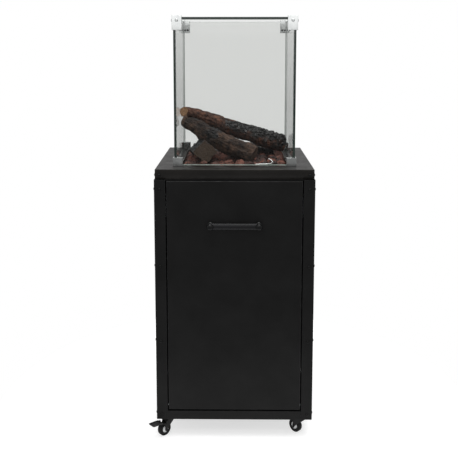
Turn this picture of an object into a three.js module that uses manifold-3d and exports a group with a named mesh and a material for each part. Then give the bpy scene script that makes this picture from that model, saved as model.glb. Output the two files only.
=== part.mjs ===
// Outdoor gas heater: a square steel cabinet on four swivel casters, with a drop-down front door,
// a sunk burner pan with lava rocks and ceramic logs, and a lift-off wind guard of four glass panes.
// Millimetres. X to the right, Y to the back, Z up from the floor; the origin is under the plan centre.

import * as THREE from 'three';
import { mergeVertices } from 'three/addons/utils/BufferGeometryUtils.js';
import Module from 'manifold-3d';

const wasm = await Module();
wasm.setup();

// ---------------------------------------------------------------- driving dimensions

const BODY_WIDTH = 450;         // over the corner posts
const BODY_DEPTH = 450;
const CABINET_HEIGHT = 735;     // lower ends of the posts to the top of the lid
const GAP = 0.3;                // between pieces that touch
const SHEET = 1.2;              // side panels, rear panel, door, rail
const PLATE = 2;                // posts, base plate, top frame
const LID_SHEET = 1.5;          // lid and burner pan

const WHEEL_DIAMETER = 40;
const WHEEL_WIDTH = 14;
const TRAIL = 17;               // swivel axis to wheel axis
const AXLE_RADIUS = 3;
const FORK_ROOM = 3;            // wheel top to fork crown
const FORK_PLATE = 2.5;
const FORK_SIDE_ROOM = 1.2;     // wheel side to fork leg
const CROWN_THICKNESS = 3;
const CUP_HEIGHT = 8;           // bearing cup over the fork
const CUP_RADIUS = 15;
const KINGPIN_RADIUS = 4;
const MOUNT_PLATE = 2.2;
const MOUNT_PLATE_WIDTH = 42;
const CASTER_INSET_X = 32;      // post faces to swivel axes
const CASTER_INSET_Y = 25;
const PEDAL_REACH = 64;         // swivel axis to pedal tip
const PEDAL_SHEET = 2;

const POST_FLANGE = 32;
const POST_BEND = 3;            // outer bend radius
const POST_OVERHANG = 1.8;      // posts reach this far below the base plate
const SCREW_RADIUS = 4.5;
const SCREW_HEIGHT = 2.6;
const SCREW_INSET = 15;         // screw axes from the outer edge of a post
const POST_SCREWS = 4;          // on each face of a post
const TOP_SCREW_DROP = 57;      // highest post screw below the lid top
const BOTTOM_SCREW_RISE = 15;   // lowest post screw above the post's lower end

const LID_RIM = 28;             // height of the folded rim
const LID_INSET = 2.75;         // lid rim behind the post faces
const LID_SCREW_DROP = 17;
const POST_TOP_GAP = 1.4;       // lid rim to post tops
const OPENING = 314;            // square fire opening in the lid
const PAN_DEPTH = 50;
const PAN_FLANGE = 20;
const FLANGE_ROOM = 5;          // pan flange to the inner edge of the top frame

const DOOR_SIDE_GAP = 3;
const DOOR_TOP_GAP = 5;
const DOOR_BOTTOM_GAP = 4.5;
const DOOR_DEPTH = 18;          // depth of the folded edges
const DOOR_INSET = 0.5;         // door face behind the post faces
const RAIL_HEIGHT = 25.5;
const RAIL_DEPTH = 16;
const PIVOT_BACK = 8;           // door face to hinge axis
const PIVOT_UP = 12;            // lower door edge to hinge axis
const PIN_RADIUS = 3;
const RUNNING_GAP = 0.15;       // radial, around the hinge pins
const HINGE_NOTCH = 24;         // clear of the folded lower edge at each door corner
const HINGE_ARM = 18;           // hinge axis to the bracket's upright
const HINGE_SHEET = 4;

const HANDLE_CENTRES = 136;
const HANDLE_DROP = 158;        // handle axis below the lid top
const HANDLE_STANDOFF = 27.5;
const HANDLE_FOOT_RADIUS = 9.5;
const HANDLE_BAR_HEIGHT = 18;
const HANDLE_BAR_DEPTH = 9;

const GUARD_LEDGE = 14.5;       // edge of the fire opening to the outer face of the glass
const GLASS = 6;
const GLASS_HEIGHT = 417;
const CLIP_FOOT = 2.4;          // clip metal under the glass
const CLIP_CAP = 4.7;           // clip metal over the glass
const CLIP_OUTER = 3.5;
const CLIP_INNER = 2.5;
const CLIP_WIDTH = 28;
const BOTTOM_CLIP_HEIGHT = 25;
const TOP_CLIP_HEIGHT = 41;
const CLIP_SCREW_DROP = 14;
const CLIP_SCREW_INSET = 10;

const BURNER_RADIUS = 90;
const BURNER_TUBE = 10;         // radius of the ring's tube
const BURNER_BAR = 8;
const BURNER_INLET = 7;
const BURNER_LIFT = 11;         // pan floor to the underside of the ring
const INLET_DROP = 16;          // burner inlet below the pan
const ROCK_LEVEL = -4;          // mean top of the rocks from the lid top
const ROCK_BUMP = 7;

const PANEL_SETBACK = 60;       // control panel behind the post faces
const PANEL_HEIGHT = 60;
const PANEL_DROP = 90;          // top of the control panel below the lid top
const PANEL_RETURN = 20;
const VALVE_X = -70;
const VALVE_SIZE = 40;
const OUTLET_RADIUS = 6;
const OUTLET_RISE = 8;
const PIPE_RADIUS = 4;
const STEM_RADIUS = 4;
const STEM_TRAVEL = 4;
const KNOB_RADIUS = 20;
const KNOB_DEPTH = 22;
const BUTTON_X = 20;
const BUTTON_RADIUS = 8;
const BUTTON_TRAVEL = 4;
const IGNITER_WIDTH = 24;
const SHIELD_DROP = 77;         // heat shield below the lid top
const SHIELD_FRONT_GAP = 22;    // behind the posts, clear of the door's upper edge and its magnet

// ---------------------------------------------------------------- heights and faces worked out from them

const WHEEL_RADIUS = WHEEL_DIAMETER / 2;
const CROWN_BOTTOM = WHEEL_DIAMETER + FORK_ROOM;
const CROWN_TOP = CROWN_BOTTOM + CROWN_THICKNESS;
const CUP_BOTTOM = CROWN_TOP + GAP;
const CUP_TOP = CUP_BOTTOM + CUP_HEIGHT;
const CASTER_HEIGHT = CUP_TOP + MOUNT_PLATE;
const BASE_BOTTOM = CASTER_HEIGHT + GAP;
const BASE_TOP = BASE_BOTTOM + PLATE;
const CABINET_BOTTOM = BASE_BOTTOM - POST_OVERHANG;
const LID_TOP = CABINET_BOTTOM + CABINET_HEIGHT;
const LID_BOTTOM = LID_TOP - LID_RIM;
const POST_TOP = LID_BOTTOM - POST_TOP_GAP;

const HALF_WIDTH = BODY_WIDTH / 2;
const HALF_DEPTH = BODY_DEPTH / 2;
const INNER_X = HALF_WIDTH - PLATE - GAP;       // outer faces of the side panels
const INNER_Y = HALF_DEPTH - PLATE - GAP;       // outer face of the rear panel
const ROOM_X = INNER_X - SHEET - GAP;           // what stands between the panels
const ROOM_Y = INNER_Y - SHEET - GAP;
const LID_X = HALF_WIDTH - LID_INSET;
const LID_Y = HALF_DEPTH - LID_INSET;

const FRONT = -HALF_DEPTH;
const DOOR_FRONT = FRONT + DOOR_INSET;
const DOOR_BACK = DOOR_FRONT + DOOR_DEPTH;
const DOOR_X = HALF_WIDTH - POST_FLANGE - DOOR_SIDE_GAP;
const RAIL_TOP = CABINET_BOTTOM + RAIL_HEIGHT;
const DOOR_BOTTOM = RAIL_TOP + DOOR_BOTTOM_GAP;
const DOOR_TOP = LID_BOTTOM - DOOR_TOP_GAP;
const PIVOT_Y = DOOR_FRONT + PIVOT_BACK;
const PIVOT_Z = DOOR_BOTTOM + PIVOT_UP;

const UNDER_LID = LID_TOP - LID_SHEET - GAP;
const PAN_HALF = OPENING / 2 - LID_SHEET;
const PAN_BOTTOM = LID_TOP - PAN_DEPTH;
const PAN_FLOOR = PAN_BOTTOM + LID_SHEET;
const BURNER_Z = PAN_FLOOR + BURNER_LIFT + BURNER_TUBE;
const INLET_BOTTOM = PAN_BOTTOM - INLET_DROP;
const SHIELD_Z = LID_TOP - SHIELD_DROP;

const GUARD_HALF = OPENING / 2 + GUARD_LEDGE;
const CLIP_BOTTOM = LID_TOP + GAP;
const GLASS_BOTTOM = CLIP_BOTTOM + CLIP_FOOT + GAP;
const GLASS_TOP = GLASS_BOTTOM + GLASS_HEIGHT;
const GUARD_TOP = GLASS_TOP + GAP + CLIP_CAP;

const PANEL_FRONT = FRONT + PANEL_SETBACK;
const PANEL_BACK = PANEL_FRONT + LID_SHEET;
const PANEL_TOP = LID_TOP - PANEL_DROP;
const CONTROL_Z = PANEL_TOP - PANEL_HEIGHT / 2;
const VALVE_FRONT = PANEL_BACK + 2 * GAP;
const VALVE_Y = VALVE_FRONT + VALVE_SIZE / 2;
const VALVE_TOP = CONTROL_Z + VALVE_SIZE / 2;
const OUTLET_TOP = VALVE_TOP + OUTLET_RISE;

// Places of the two probes that come up through the pan, in plan.
const THERMOCOUPLE = { x: 52, y: -PAN_HALF + 13.5, radius: 1.5 };
const ELECTRODE = { x: 80, y: -PAN_HALF + 27.5, radius: 3.5 };
const PROBE_CORNER = { left: 45, right: 130, depth: 39 };   // clear of rocks, from the pan's front wall

const LEFT = -1;
const RIGHT = 1;
const QUARTER = Math.PI / 2;

// Corners in the order of a quarter turn each; a piece built with its legs along +X and +Y fits them all.
const CORNERS = [
  { name: 'front_left', x: -1, y: -1, turn: 0, casterYaw: 1.25 * Math.PI, brake: true },
  { name: 'front_right', x: 1, y: -1, turn: 1, casterYaw: 0.75 * Math.PI, brake: false },
  { name: 'rear_right', x: 1, y: 1, turn: 2, casterYaw: 0.25 * Math.PI, brake: true },
  { name: 'rear_left', x: -1, y: 1, turn: 3, casterYaw: -0.25 * Math.PI, brake: false },
];

// ---------------------------------------------------------------- materials

function finish(color, roughness, metalness, opacity = 1) {
  return new THREE.MeshStandardMaterial({ color, roughness, metalness, opacity, transparent: opacity < 1 });
}

const MATERIALS = {
  powderCoat: finish(0x1c1c1c, 0.55, 0.3),
  lidCoat: finish(0x3a3835, 0.6, 0.3),
  glossBlack: finish(0x0c0c0e, 0.2, 0.3),
  galvanised: finish(0x8d9092, 0.45, 0.9),
  polishedSteel: finish(0xc8cbcc, 0.12, 1),
  stainless: finish(0xa9acad, 0.35, 1),
  brass: finish(0xb08d45, 0.35, 0.9),
  rubber: finish(0x121212, 0.8, 0),
  plastic: finish(0x151515, 0.45, 0),
  porcelain: finish(0xe8e2d6, 0.3, 0),
  charredLog: finish(0x33261f, 0.9, 0),
  barkLog: finish(0x4f4036, 0.9, 0),
  lava: finish(0x6b3f33, 0.95, 0),
  glass: finish(0xc9d6d0, 0.05, 0, 0.25),
};

// ---------------------------------------------------------------- shapes

function box([x0, y0, z0], [x1, y1, z1]) {
  const geometry = new THREE.BoxGeometry(x1 - x0, y1 - y0, z1 - z0);
  return geometry.translate((x0 + x1) / 2, (y0 + y1) / 2, (z0 + z1) / 2);
}

// A box centred on the Z axis.
function block(halfX, halfY, z0, z1) {
  return box([-halfX, -halfY, z0], [halfX, halfY, z1]);
}

// A round bar from one point to another; the two points differ along one axis only.
function bar(radius, from, to, sides = 16) {
  const start = new THREE.Vector3(...from);
  const end = new THREE.Vector3(...to);
  const direction = end.clone().sub(start);
  const geometry = new THREE.CylinderGeometry(radius, radius, direction.length(), sides);
  const turn = new THREE.Quaternion().setFromUnitVectors(new THREE.Vector3(0, 1, 0), direction.normalize());
  const middle = start.add(end).multiplyScalar(0.5);
  return geometry.applyQuaternion(turn).translate(middle.x, middle.y, middle.z);
}

// A turned piece about the Z axis. The profile lists [radius, height], the upper end first.
function turned(profile, sides = 24) {
  const points = profile.map(([radius, height]) => new THREE.Vector2(radius, height));
  return new THREE.LatheGeometry(points.reverse(), sides).rotateX(QUARTER);
}

function extrude(shape, depth, curveSegments = 4) {
  return new THREE.ExtrudeGeometry(shape, { depth, curveSegments, bevelEnabled: false });
}

// An outline in the XZ plane, given thickness from y0 to y1.
function extrudeAcross(shape, y0, y1, curveSegments = 6) {
  return extrude(shape, y1 - y0, curveSegments).rotateX(QUARTER).translate(0, y1, 0);
}

function polygon(points) {
  return new THREE.Shape(points.map(([x, y]) => new THREE.Vector2(x, y)));
}

function rectangleHole(x0, y0, x1, y1) {
  return new THREE.Path([
    new THREE.Vector2(x0, y0),
    new THREE.Vector2(x0, y1),
    new THREE.Vector2(x1, y1),
    new THREE.Vector2(x1, y0),
  ]);
}

// A row of equal slots, as holes for a sheet's outline.
function slotRow({ count, length, width, pitch, centre: [x, y] }) {
  return Array.from({ length: count }, (_, i) => {
    const middle = y + (i - (count - 1) / 2) * pitch;
    return rectangleHole(x - length / 2, middle - width / 2, x + length / 2, middle + width / 2);
  });
}

// ---------------------------------------------------------------- joining and cutting

function toSolid(geometry) {
  const bare = geometry.clone();
  bare.deleteAttribute('normal');
  bare.deleteAttribute('uv');
  const merged = mergeVertices(bare, 1e-4);
  const corners = merged.index.array;
  const faces = [];
  for (let i = 0; i < corners.length; i += 3) {
    const [a, b, c] = [corners[i], corners[i + 1], corners[i + 2]];
    if (a !== b && b !== c && c !== a) faces.push(a, b, c);
  }
  const vertProperties = Float32Array.from(merged.attributes.position.array);
  return new wasm.Manifold(new wasm.Mesh({ numProp: 3, vertProperties, triVerts: Uint32Array.from(faces) }));
}

function toGeometry(solid) {
  const { vertProperties, triVerts } = solid.getMesh();
  const geometry = new THREE.BufferGeometry();
  geometry.setAttribute('position', new THREE.BufferAttribute(vertProperties, 3));
  geometry.setIndex(new THREE.BufferAttribute(triVerts, 1));
  geometry.computeVertexNormals();
  return geometry;
}

function join(first, ...others) {
  return toGeometry(others.reduce((solid, other) => solid.add(toSolid(other)), toSolid(first)));
}

function cut(first, ...tools) {
  return toGeometry(tools.reduce((solid, tool) => solid.subtract(toSolid(tool)), toSolid(first)));
}

function mesh(name, geometry, material) {
  const piece = new THREE.Mesh(geometry, material);
  piece.name = name;
  return piece;
}

// ---------------------------------------------------------------- cabinet

// A dome-headed screw standing on the plane Z = 0, sunk a little so that it joins what carries it.
function screwHead(radius = SCREW_RADIUS, height = SCREW_HEIGHT) {
  const sunk = 0.5;
  return turned([
    [0, height],
    [radius * 0.62, height * 0.8],
    [radius, height * 0.25],
    [radius, -sunk],
    [0, -sunk],
  ], 8);
}

// The same head on a face that looks along -Y.
function screwOnFront(x, y, z) {
  return screwHead().rotateX(QUARTER).translate(x, y, z);
}

// The same head on a face that looks along -X.
function screwOnLeft(x, y, z) {
  return screwHead().rotateY(-QUARTER).translate(x, y, z);
}

function angleOutline(flange, thickness, bend) {
  const outline = new THREE.Shape();
  outline.moveTo(flange, 0);
  outline.lineTo(flange, thickness);
  outline.lineTo(thickness, thickness);
  outline.lineTo(thickness, flange);
  outline.lineTo(0, flange);
  outline.lineTo(0, bend);
  outline.absarc(bend, bend, bend, Math.PI, 3 * QUARTER, false);
  return outline;
}

function cornerPost(corner) {
  const angle = extrude(angleOutline(POST_FLANGE, PLATE, POST_BEND), POST_TOP - CABINET_BOTTOM);
  angle.translate(0, 0, CABINET_BOTTOM);
  const lowest = CABINET_BOTTOM + BOTTOM_SCREW_RISE;
  const pitch = (LID_TOP - TOP_SCREW_DROP - lowest) / (POST_SCREWS - 1);
  const screws = [];
  for (let i = 0; i < POST_SCREWS; i += 1) {
    const z = lowest + i * pitch;
    screws.push(screwOnFront(SCREW_INSET, 0, z), screwOnLeft(0, SCREW_INSET, z));
  }
  const post = mesh(`post_${corner.name}`, join(angle, ...screws), MATERIALS.powderCoat);
  post.position.set(corner.x * HALF_WIDTH, corner.y * HALF_DEPTH, 0);
  post.rotation.z = corner.turn * QUARTER;
  return post;
}

function sidePanel(side, name) {
  const inner = side * (INNER_X - SHEET);
  const outer = side * INNER_X;
  const low = [Math.min(inner, outer), -INNER_Y, BASE_BOTTOM];
  const high = [Math.max(inner, outer), INNER_Y, POST_TOP];
  return mesh(name, box(low, high), MATERIALS.powderCoat);
}

function rearPanel() {
  const outline = polygon([
    [-ROOM_X, BASE_BOTTOM],
    [ROOM_X, BASE_BOTTOM],
    [ROOM_X, POST_TOP],
    [-ROOM_X, POST_TOP],
  ]);
  const vents = { count: 5, length: 150, width: 8, pitch: 20 };
  outline.holes = [
    ...slotRow({ ...vents, centre: [0, BASE_TOP + 90] }),
    ...slotRow({ ...vents, centre: [0, PANEL_TOP - PANEL_HEIGHT - 60] }),
  ];
  return mesh('rear_panel', extrudeAcross(outline, INNER_Y - SHEET, INNER_Y), MATERIALS.powderCoat);
}

function basePlate() {
  const outline = polygon([[-ROOM_X, -INNER_Y], [ROOM_X, -INNER_Y], [ROOM_X, ROOM_Y], [-ROOM_X, ROOM_Y]]);
  outline.holes = slotRow({ count: 6, length: 180, width: 10, pitch: 45, centre: [0, 0] });
  return mesh('base_plate', extrude(outline, PLATE).translate(0, 0, BASE_BOTTOM), MATERIALS.powderCoat);
}

function bottomRail() {
  const half = HALF_WIDTH - POST_FLANGE - 2 * GAP;
  const web = box([-half, FRONT, CABINET_BOTTOM], [half, FRONT + SHEET, RAIL_TOP]);
  const ledge = box([-half, FRONT, RAIL_TOP - SHEET], [half, FRONT + RAIL_DEPTH, RAIL_TOP]);
  return mesh('bottom_rail', join(web, ledge), MATERIALS.powderCoat);
}

function topFrame() {
  const outerX = LID_X - LID_SHEET - GAP;
  const outerY = LID_Y - LID_SHEET - GAP;
  const bottom = POST_TOP + GAP;
  const shelfEnd = PAN_HALF + PAN_FLANGE + FLANGE_ROOM;
  const ring = cut(
    block(outerX, outerY, bottom, UNDER_LID),
    block(outerX - PLATE, outerY - PLATE, bottom + PLATE, LID_TOP),
    block(shelfEnd, shelfEnd, CABINET_BOTTOM, LID_TOP),
  );
  return mesh('top_frame', ring, MATERIALS.powderCoat);
}

function lid() {
  const tray = cut(
    block(LID_X, LID_Y, LID_BOTTOM, LID_TOP),
    block(LID_X - LID_SHEET, LID_Y - LID_SHEET, CABINET_BOTTOM, LID_TOP - LID_SHEET),
    block(OPENING / 2, OPENING / 2, CABINET_BOTTOM, LID_TOP + 1),
  );
  const z = LID_TOP - LID_SCREW_DROP;
  const screwX = HALF_WIDTH - SCREW_INSET;
  const screwY = HALF_DEPTH - SCREW_INSET;
  const screws = [];
  for (const side of [LEFT, RIGHT]) {
    screws.push(
      screwOnFront(side * screwX, -LID_Y, z),
      screwOnFront(side * screwX, -LID_Y, z).rotateZ(Math.PI),
      screwOnLeft(-LID_X, side * screwY, z),
      screwOnLeft(-LID_X, side * screwY, z).rotateZ(Math.PI),
    );
  }
  return mesh('lid', join(tray, ...screws), MATERIALS.lidCoat);
}

// ---------------------------------------------------------------- fire: pan, burner, rocks, logs

function burnerPan() {
  const flange = PAN_HALF + PAN_FLANGE;
  const tub = join(
    block(PAN_HALF, PAN_HALF, PAN_BOTTOM, UNDER_LID),
    block(flange, flange, UNDER_LID - LID_SHEET, UNDER_LID),
  );
  const hollow = PAN_HALF - LID_SHEET;
  const pan = cut(
    tub,
    block(hollow, hollow, PAN_FLOOR, LID_TOP),
    bar(BURNER_INLET + GAP, [0, 0, INLET_BOTTOM], [0, 0, BURNER_Z]),
    bar(
      ELECTRODE.radius + GAP,
      [ELECTRODE.x, ELECTRODE.y, INLET_BOTTOM],
      [ELECTRODE.x, ELECTRODE.y, BURNER_Z],
    ),
    bar(
      THERMOCOUPLE.radius + 2 * GAP,
      [THERMOCOUPLE.x, THERMOCOUPLE.y, INLET_BOTTOM],
      [THERMOCOUPLE.x, THERMOCOUPLE.y, BURNER_Z],
    ),
  );
  return mesh('burner_pan', pan, MATERIALS.stainless);
}

function ringTube(radius, tube, z) {
  const sides = 8;
  const profile = Array.from({ length: sides + 1 }, (_, i) => {
    const angle = (-i / sides) * 2 * Math.PI;
    return [radius + tube * Math.cos(angle), z + tube * Math.sin(angle)];
  });
  return turned(profile);
}

function burner() {
  const ring = ringTube(BURNER_RADIUS, BURNER_TUBE, BURNER_Z);
  const across = bar(BURNER_BAR, [-BURNER_RADIUS, 0, BURNER_Z], [BURNER_RADIUS, 0, BURNER_Z], 8);
  const inlet = bar(BURNER_INLET, [0, 0, INLET_BOTTOM], [0, 0, BURNER_Z]);
  return mesh('burner', join(ring, across, inlet), MATERIALS.stainless);
}

// A log between two points, thicker at one end, with an uneven round or split section.
function logShape({ from, to, startRadius, endRadius, sides, seed }, margin = 0) {
  const lidCentre = new THREE.Vector3(0, 0, LID_TOP);
  const start = new THREE.Vector3(...from).multiplyScalar(LOG_SCALE).add(lidCentre);
  const end = new THREE.Vector3(...to).multiplyScalar(LOG_SCALE).add(lidCentre);
  const direction = end.clone().sub(start);
  const length = direction.length();
  const geometry = new THREE.CylinderGeometry(
    endRadius * LOG_SCALE,
    startRadius * LOG_SCALE,
    length + 2 * margin,
    sides,
    6,
  );
  const position = geometry.attributes.position;
  for (let i = 0; i < position.count; i += 1) {
    const angle = Math.atan2(position.getZ(i), position.getX(i));
    const along = position.getY(i) / length;
    const radius = Math.hypot(position.getX(i), position.getZ(i));
    const uneven = 1 + 0.08 * Math.sin(2 * angle + seed + 4 * along) + 0.06 * Math.sin(7 * along + 3 * seed);
    const grown = radius > 0 ? (radius * uneven + margin) / radius : 1;
    position.setX(i, position.getX(i) * grown);
    position.setZ(i, position.getZ(i) * grown);
  }
  const turn = new THREE.Quaternion().setFromUnitVectors(new THREE.Vector3(0, 1, 0), direction.normalize());
  const middle = start.add(end).multiplyScalar(0.5);
  return geometry.applyQuaternion(turn).translate(middle.x, middle.y, middle.z);
}

// Ends are [x, y, height above the lid top], as laid out in a fire opening of LOG_LAYOUT.
const LOG_LAYOUT = 314;
const LOG_SCALE = OPENING / LOG_LAYOUT;
const LOGS = [
  {
    name: 'log_upper', material: MATERIALS.charredLog,
    from: [-157, 14, 139], to: [153, 54, 38], startRadius: 16, endRadius: 26, sides: 12, seed: 0.4,
  },
  {
    name: 'log_middle', material: MATERIALS.charredLog,
    from: [-153, -24, 113], to: [52, -60, 11], startRadius: 18, endRadius: 28, sides: 12, seed: 1.9,
  },
  {
    name: 'log_short', material: MATERIALS.barkLog,
    from: [-84, -96, 26], to: [-112, 20, 22], startRadius: 33, endRadius: 28, sides: 4, seed: 0.2,
  },
  {
    name: 'log_rear', material: MATERIALS.charredLog,
    from: [10, 112, 8], to: [128, 94, 5], startRadius: 20, endRadius: 22, sides: 10, seed: 3.1,
  },
];

function rockHeight(x, y) {
  const coarse = Math.sin(0.11 * x + 1.3) * Math.cos(0.13 * y);
  const fine = Math.sin(0.29 * x - 0.17 * y) * 0.6;
  return LID_TOP + ROCK_LEVEL + ROCK_BUMP * (coarse + fine) / 1.6;
}

function lavaBed() {
  const half = PAN_HALF - LID_SHEET - GAP;
  const bottom = PAN_FLOOR + GAP;
  const top = LID_TOP + ROCK_LEVEL;
  const steps = 12;
  const heap = new THREE.BoxGeometry(2 * half, 2 * half, top - bottom, steps, steps, 1);
  heap.translate(0, 0, (top + bottom) / 2);
  const position = heap.attributes.position;
  for (let i = 0; i < position.count; i += 1) {
    if (position.getZ(i) > (top + bottom) / 2) {
      position.setZ(i, rockHeight(position.getX(i), position.getY(i)));
    }
  }
  const room = 2 * GAP;
  const ringOuter = BURNER_RADIUS + BURNER_TUBE + room;
  const ringInner = BURNER_RADIUS - BURNER_TUBE - room;
  const ringTop = BURNER_Z + BURNER_TUBE + room;
  const groove = turned([
    [ringOuter, ringTop],
    [ringOuter, PAN_BOTTOM],
    [ringInner, PAN_BOTTOM],
    [ringInner, ringTop],
    [ringOuter, ringTop],
  ]);
  const barRoom = BURNER_BAR + room;
  const channel = block(BURNER_RADIUS, barRoom, PAN_BOTTOM, BURNER_Z + barRoom);
  const front = -PAN_HALF;
  const probes = box(
    [PROBE_CORNER.left, front, PAN_BOTTOM],
    [PROBE_CORNER.right, front + PROBE_CORNER.depth, LID_TOP + 2 * ROCK_BUMP],
  );
  const bed = cut(heap, groove, channel, probes, ...LOGS.map((log) => logShape(log, GAP)));
  return mesh('lava_bed', bed, MATERIALS.lava);
}

// The thin tube rises in the front corner of the pan, runs to the right and curls back over the rocks.
function thermocouple() {
  const { x, y, radius } = THERMOCOUPLE;
  const route = new THREE.CatmullRomCurve3([
    new THREE.Vector3(x, y, PAN_BOTTOM - 8),
    new THREE.Vector3(x, y, LID_TOP - 25),
    new THREE.Vector3(x + 1, y, LID_TOP - 6),
    new THREE.Vector3(x + 9, y - 1, LID_TOP + 1.5),
    new THREE.Vector3(x + 30, y - 2, LID_TOP + 2.5),
    new THREE.Vector3(x + 47, y, LID_TOP + 3),
    new THREE.Vector3(x + 57, y + 8, LID_TOP + 6),
    new THREE.Vector3(x + 53, y + 16, LID_TOP + 11),
    new THREE.Vector3(x + 46, y + 17, LID_TOP + 15),
  ]);
  const section = new THREE.Shape().absarc(0, 0, radius, 0, 2 * Math.PI, false);
  const tube = new THREE.ExtrudeGeometry(section, { steps: 30, curveSegments: 3, extrudePath: route });
  return mesh('thermocouple', tube, MATERIALS.stainless);
}

function electrode() {
  const { x, y, radius } = ELECTRODE;
  const shoulder = LID_TOP - 20;
  const wire = 1;
  const pin = turned([
    [0, LID_TOP - 8],
    [wire, LID_TOP - 8],
    [wire, shoulder],
    [radius, shoulder],
    [radius, PAN_BOTTOM - 12],
    [0, PAN_BOTTOM - 12],
  ], 12);
  return mesh('ignition_electrode', pin.translate(x, y, 0), MATERIALS.porcelain);
}

function heatShield() {
  const front = -ROOM_Y + SHIELD_FRONT_GAP;
  const outline = polygon([[-ROOM_X, front], [ROOM_X, front], [ROOM_X, ROOM_Y], [-ROOM_X, ROOM_Y]]);
  const pipeHole = 10;
  const leadRoom = 12;
  outline.holes = [
    rectangleHole(-pipeHole, -pipeHole, pipeHole, pipeHole),
    rectangleHole(
      THERMOCOUPLE.x - leadRoom,
      THERMOCOUPLE.y - leadRoom,
      ELECTRODE.x + leadRoom,
      ELECTRODE.y + leadRoom,
    ),
  ];
  return mesh('heat_shield', extrude(outline, SHEET).translate(0, 0, SHIELD_Z), MATERIALS.galvanised);
}

// ---------------------------------------------------------------- gas train and controls

function controlPanel() {
  const depth = PANEL_BACK - PANEL_FRONT;
  const back = PANEL_FRONT + PANEL_RETURN;
  const outline = polygon([
    [-ROOM_X, PANEL_FRONT],
    [ROOM_X, PANEL_FRONT],
    [ROOM_X, back],
    [ROOM_X - depth, back],
    [ROOM_X - depth, PANEL_BACK],
    [-ROOM_X + depth, PANEL_BACK],
    [-ROOM_X + depth, back],
    [-ROOM_X, back],
  ]);
  const bracket = extrude(outline, PANEL_HEIGHT).translate(0, 0, PANEL_TOP - PANEL_HEIGHT);
  const panel = cut(
    bracket,
    bar(STEM_RADIUS + 1, [VALVE_X, FRONT, CONTROL_Z], [VALVE_X, 0, CONTROL_Z]),
    bar(STEM_RADIUS + 1, [BUTTON_X, FRONT, CONTROL_Z], [BUTTON_X, 0, CONTROL_Z]),
  );
  return mesh('control_panel', panel, MATERIALS.galvanised);
}

const KNOB_ROOM = STEM_TRAVEL + 1;                    // knob back to panel front
const KNOB_BACK = PANEL_FRONT - KNOB_ROOM;
const KNOB_FRONT = KNOB_BACK - KNOB_DEPTH;
const STEM_FRONT = KNOB_FRONT + KNOB_DEPTH * 0.22;
const STEM_BACK = VALVE_FRONT + VALVE_SIZE * 0.7;

function gasValve() {
  const half = VALVE_SIZE / 2;
  const body = join(
    box(
      [VALVE_X - half, VALVE_FRONT, CONTROL_Z - half],
      [VALVE_X + half, VALVE_FRONT + VALVE_SIZE, VALVE_TOP],
    ),
    bar(OUTLET_RADIUS, [VALVE_X, VALVE_Y, CONTROL_Z], [VALVE_X, VALVE_Y, OUTLET_TOP]),
  );
  const boreEnd = STEM_BACK + STEM_TRAVEL + 1;
  const bore = bar(STEM_RADIUS + GAP, [VALVE_X, FRONT, CONTROL_Z], [VALVE_X, boreEnd, CONTROL_Z]);
  return mesh('gas_valve', cut(body, bore), MATERIALS.galvanised);
}

function gasInlet() {
  const top = CONTROL_Z - VALVE_SIZE / 2 - GAP;
  const nutBottom = top - 11;
  const end = nutBottom - 20;
  const fitting = turned([[0, top], [11, top], [11, nutBottom], [8, nutBottom], [8, end], [0, end]], 6);
  const bore = bar(4, [0, 0, end - 1], [0, 0, nutBottom]);
  return mesh('gas_inlet', cut(fitting, bore).translate(VALVE_X, VALVE_Y, 0), MATERIALS.brass);
}

function gasPipe() {
  const start = OUTLET_TOP + GAP;
  const run = start + 7;
  const route = new THREE.CatmullRomCurve3([
    new THREE.Vector3(VALVE_X, VALVE_Y, start),
    new THREE.Vector3(VALVE_X, VALVE_Y, start + 2),
    new THREE.Vector3(VALVE_X * 0.93, VALVE_Y * 0.93, run),
    new THREE.Vector3(VALVE_X * 0.5, VALVE_Y * 0.5, run),
    new THREE.Vector3(VALVE_X * 0.12, VALVE_Y * 0.12, run),
    new THREE.Vector3(0, 0, run + 6),
    new THREE.Vector3(0, 0, INLET_BOTTOM - GAP),
  ]);
  const section = new THREE.Shape().absarc(0, 0, PIPE_RADIUS, 0, 2 * Math.PI, false);
  const pipe = new THREE.ExtrudeGeometry(section, { steps: 24, curveSegments: 4, extrudePath: route });
  return mesh('gas_pipe', pipe, MATERIALS.stainless);
}

function valveStem() {
  const stem = bar(STEM_RADIUS, [VALVE_X, STEM_FRONT, CONTROL_Z], [VALVE_X, STEM_BACK, CONTROL_Z]);
  return mesh('valve_stem', stem, MATERIALS.brass);
}

// Turned pieces that face forwards are drawn with their height as the distance in front of Y = 0.
function facingFront(geometry, x, z) {
  return geometry.rotateX(QUARTER).translate(x, 0, z);
}

function controlKnob() {
  const bore = STEM_RADIUS + GAP;
  const skirt = facingFront(turned([
    [0, -KNOB_FRONT],
    [KNOB_RADIUS - 3, -KNOB_FRONT],
    [KNOB_RADIUS - 1, -KNOB_FRONT - 3],
    [KNOB_RADIUS, -KNOB_BACK],
    [bore, -KNOB_BACK],
    [bore, -STEM_FRONT + GAP],
    [0, -STEM_FRONT + GAP],
  ]), VALVE_X, CONTROL_Z);
  const ridge = box(
    [VALVE_X - 3, KNOB_FRONT - 4, CONTROL_Z - KNOB_RADIUS + 4],
    [VALVE_X + 3, KNOB_FRONT + 1, CONTROL_Z + KNOB_RADIUS - 4],
  );
  return mesh('control_knob', join(skirt, ridge), MATERIALS.plastic);
}

const BUTTON_BACK = PANEL_FRONT - BUTTON_TRAVEL - 0.5;
const BUTTON_FRONT = BUTTON_BACK - 8;
const PLUNGER_BACK = PANEL_BACK + 14;

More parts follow.
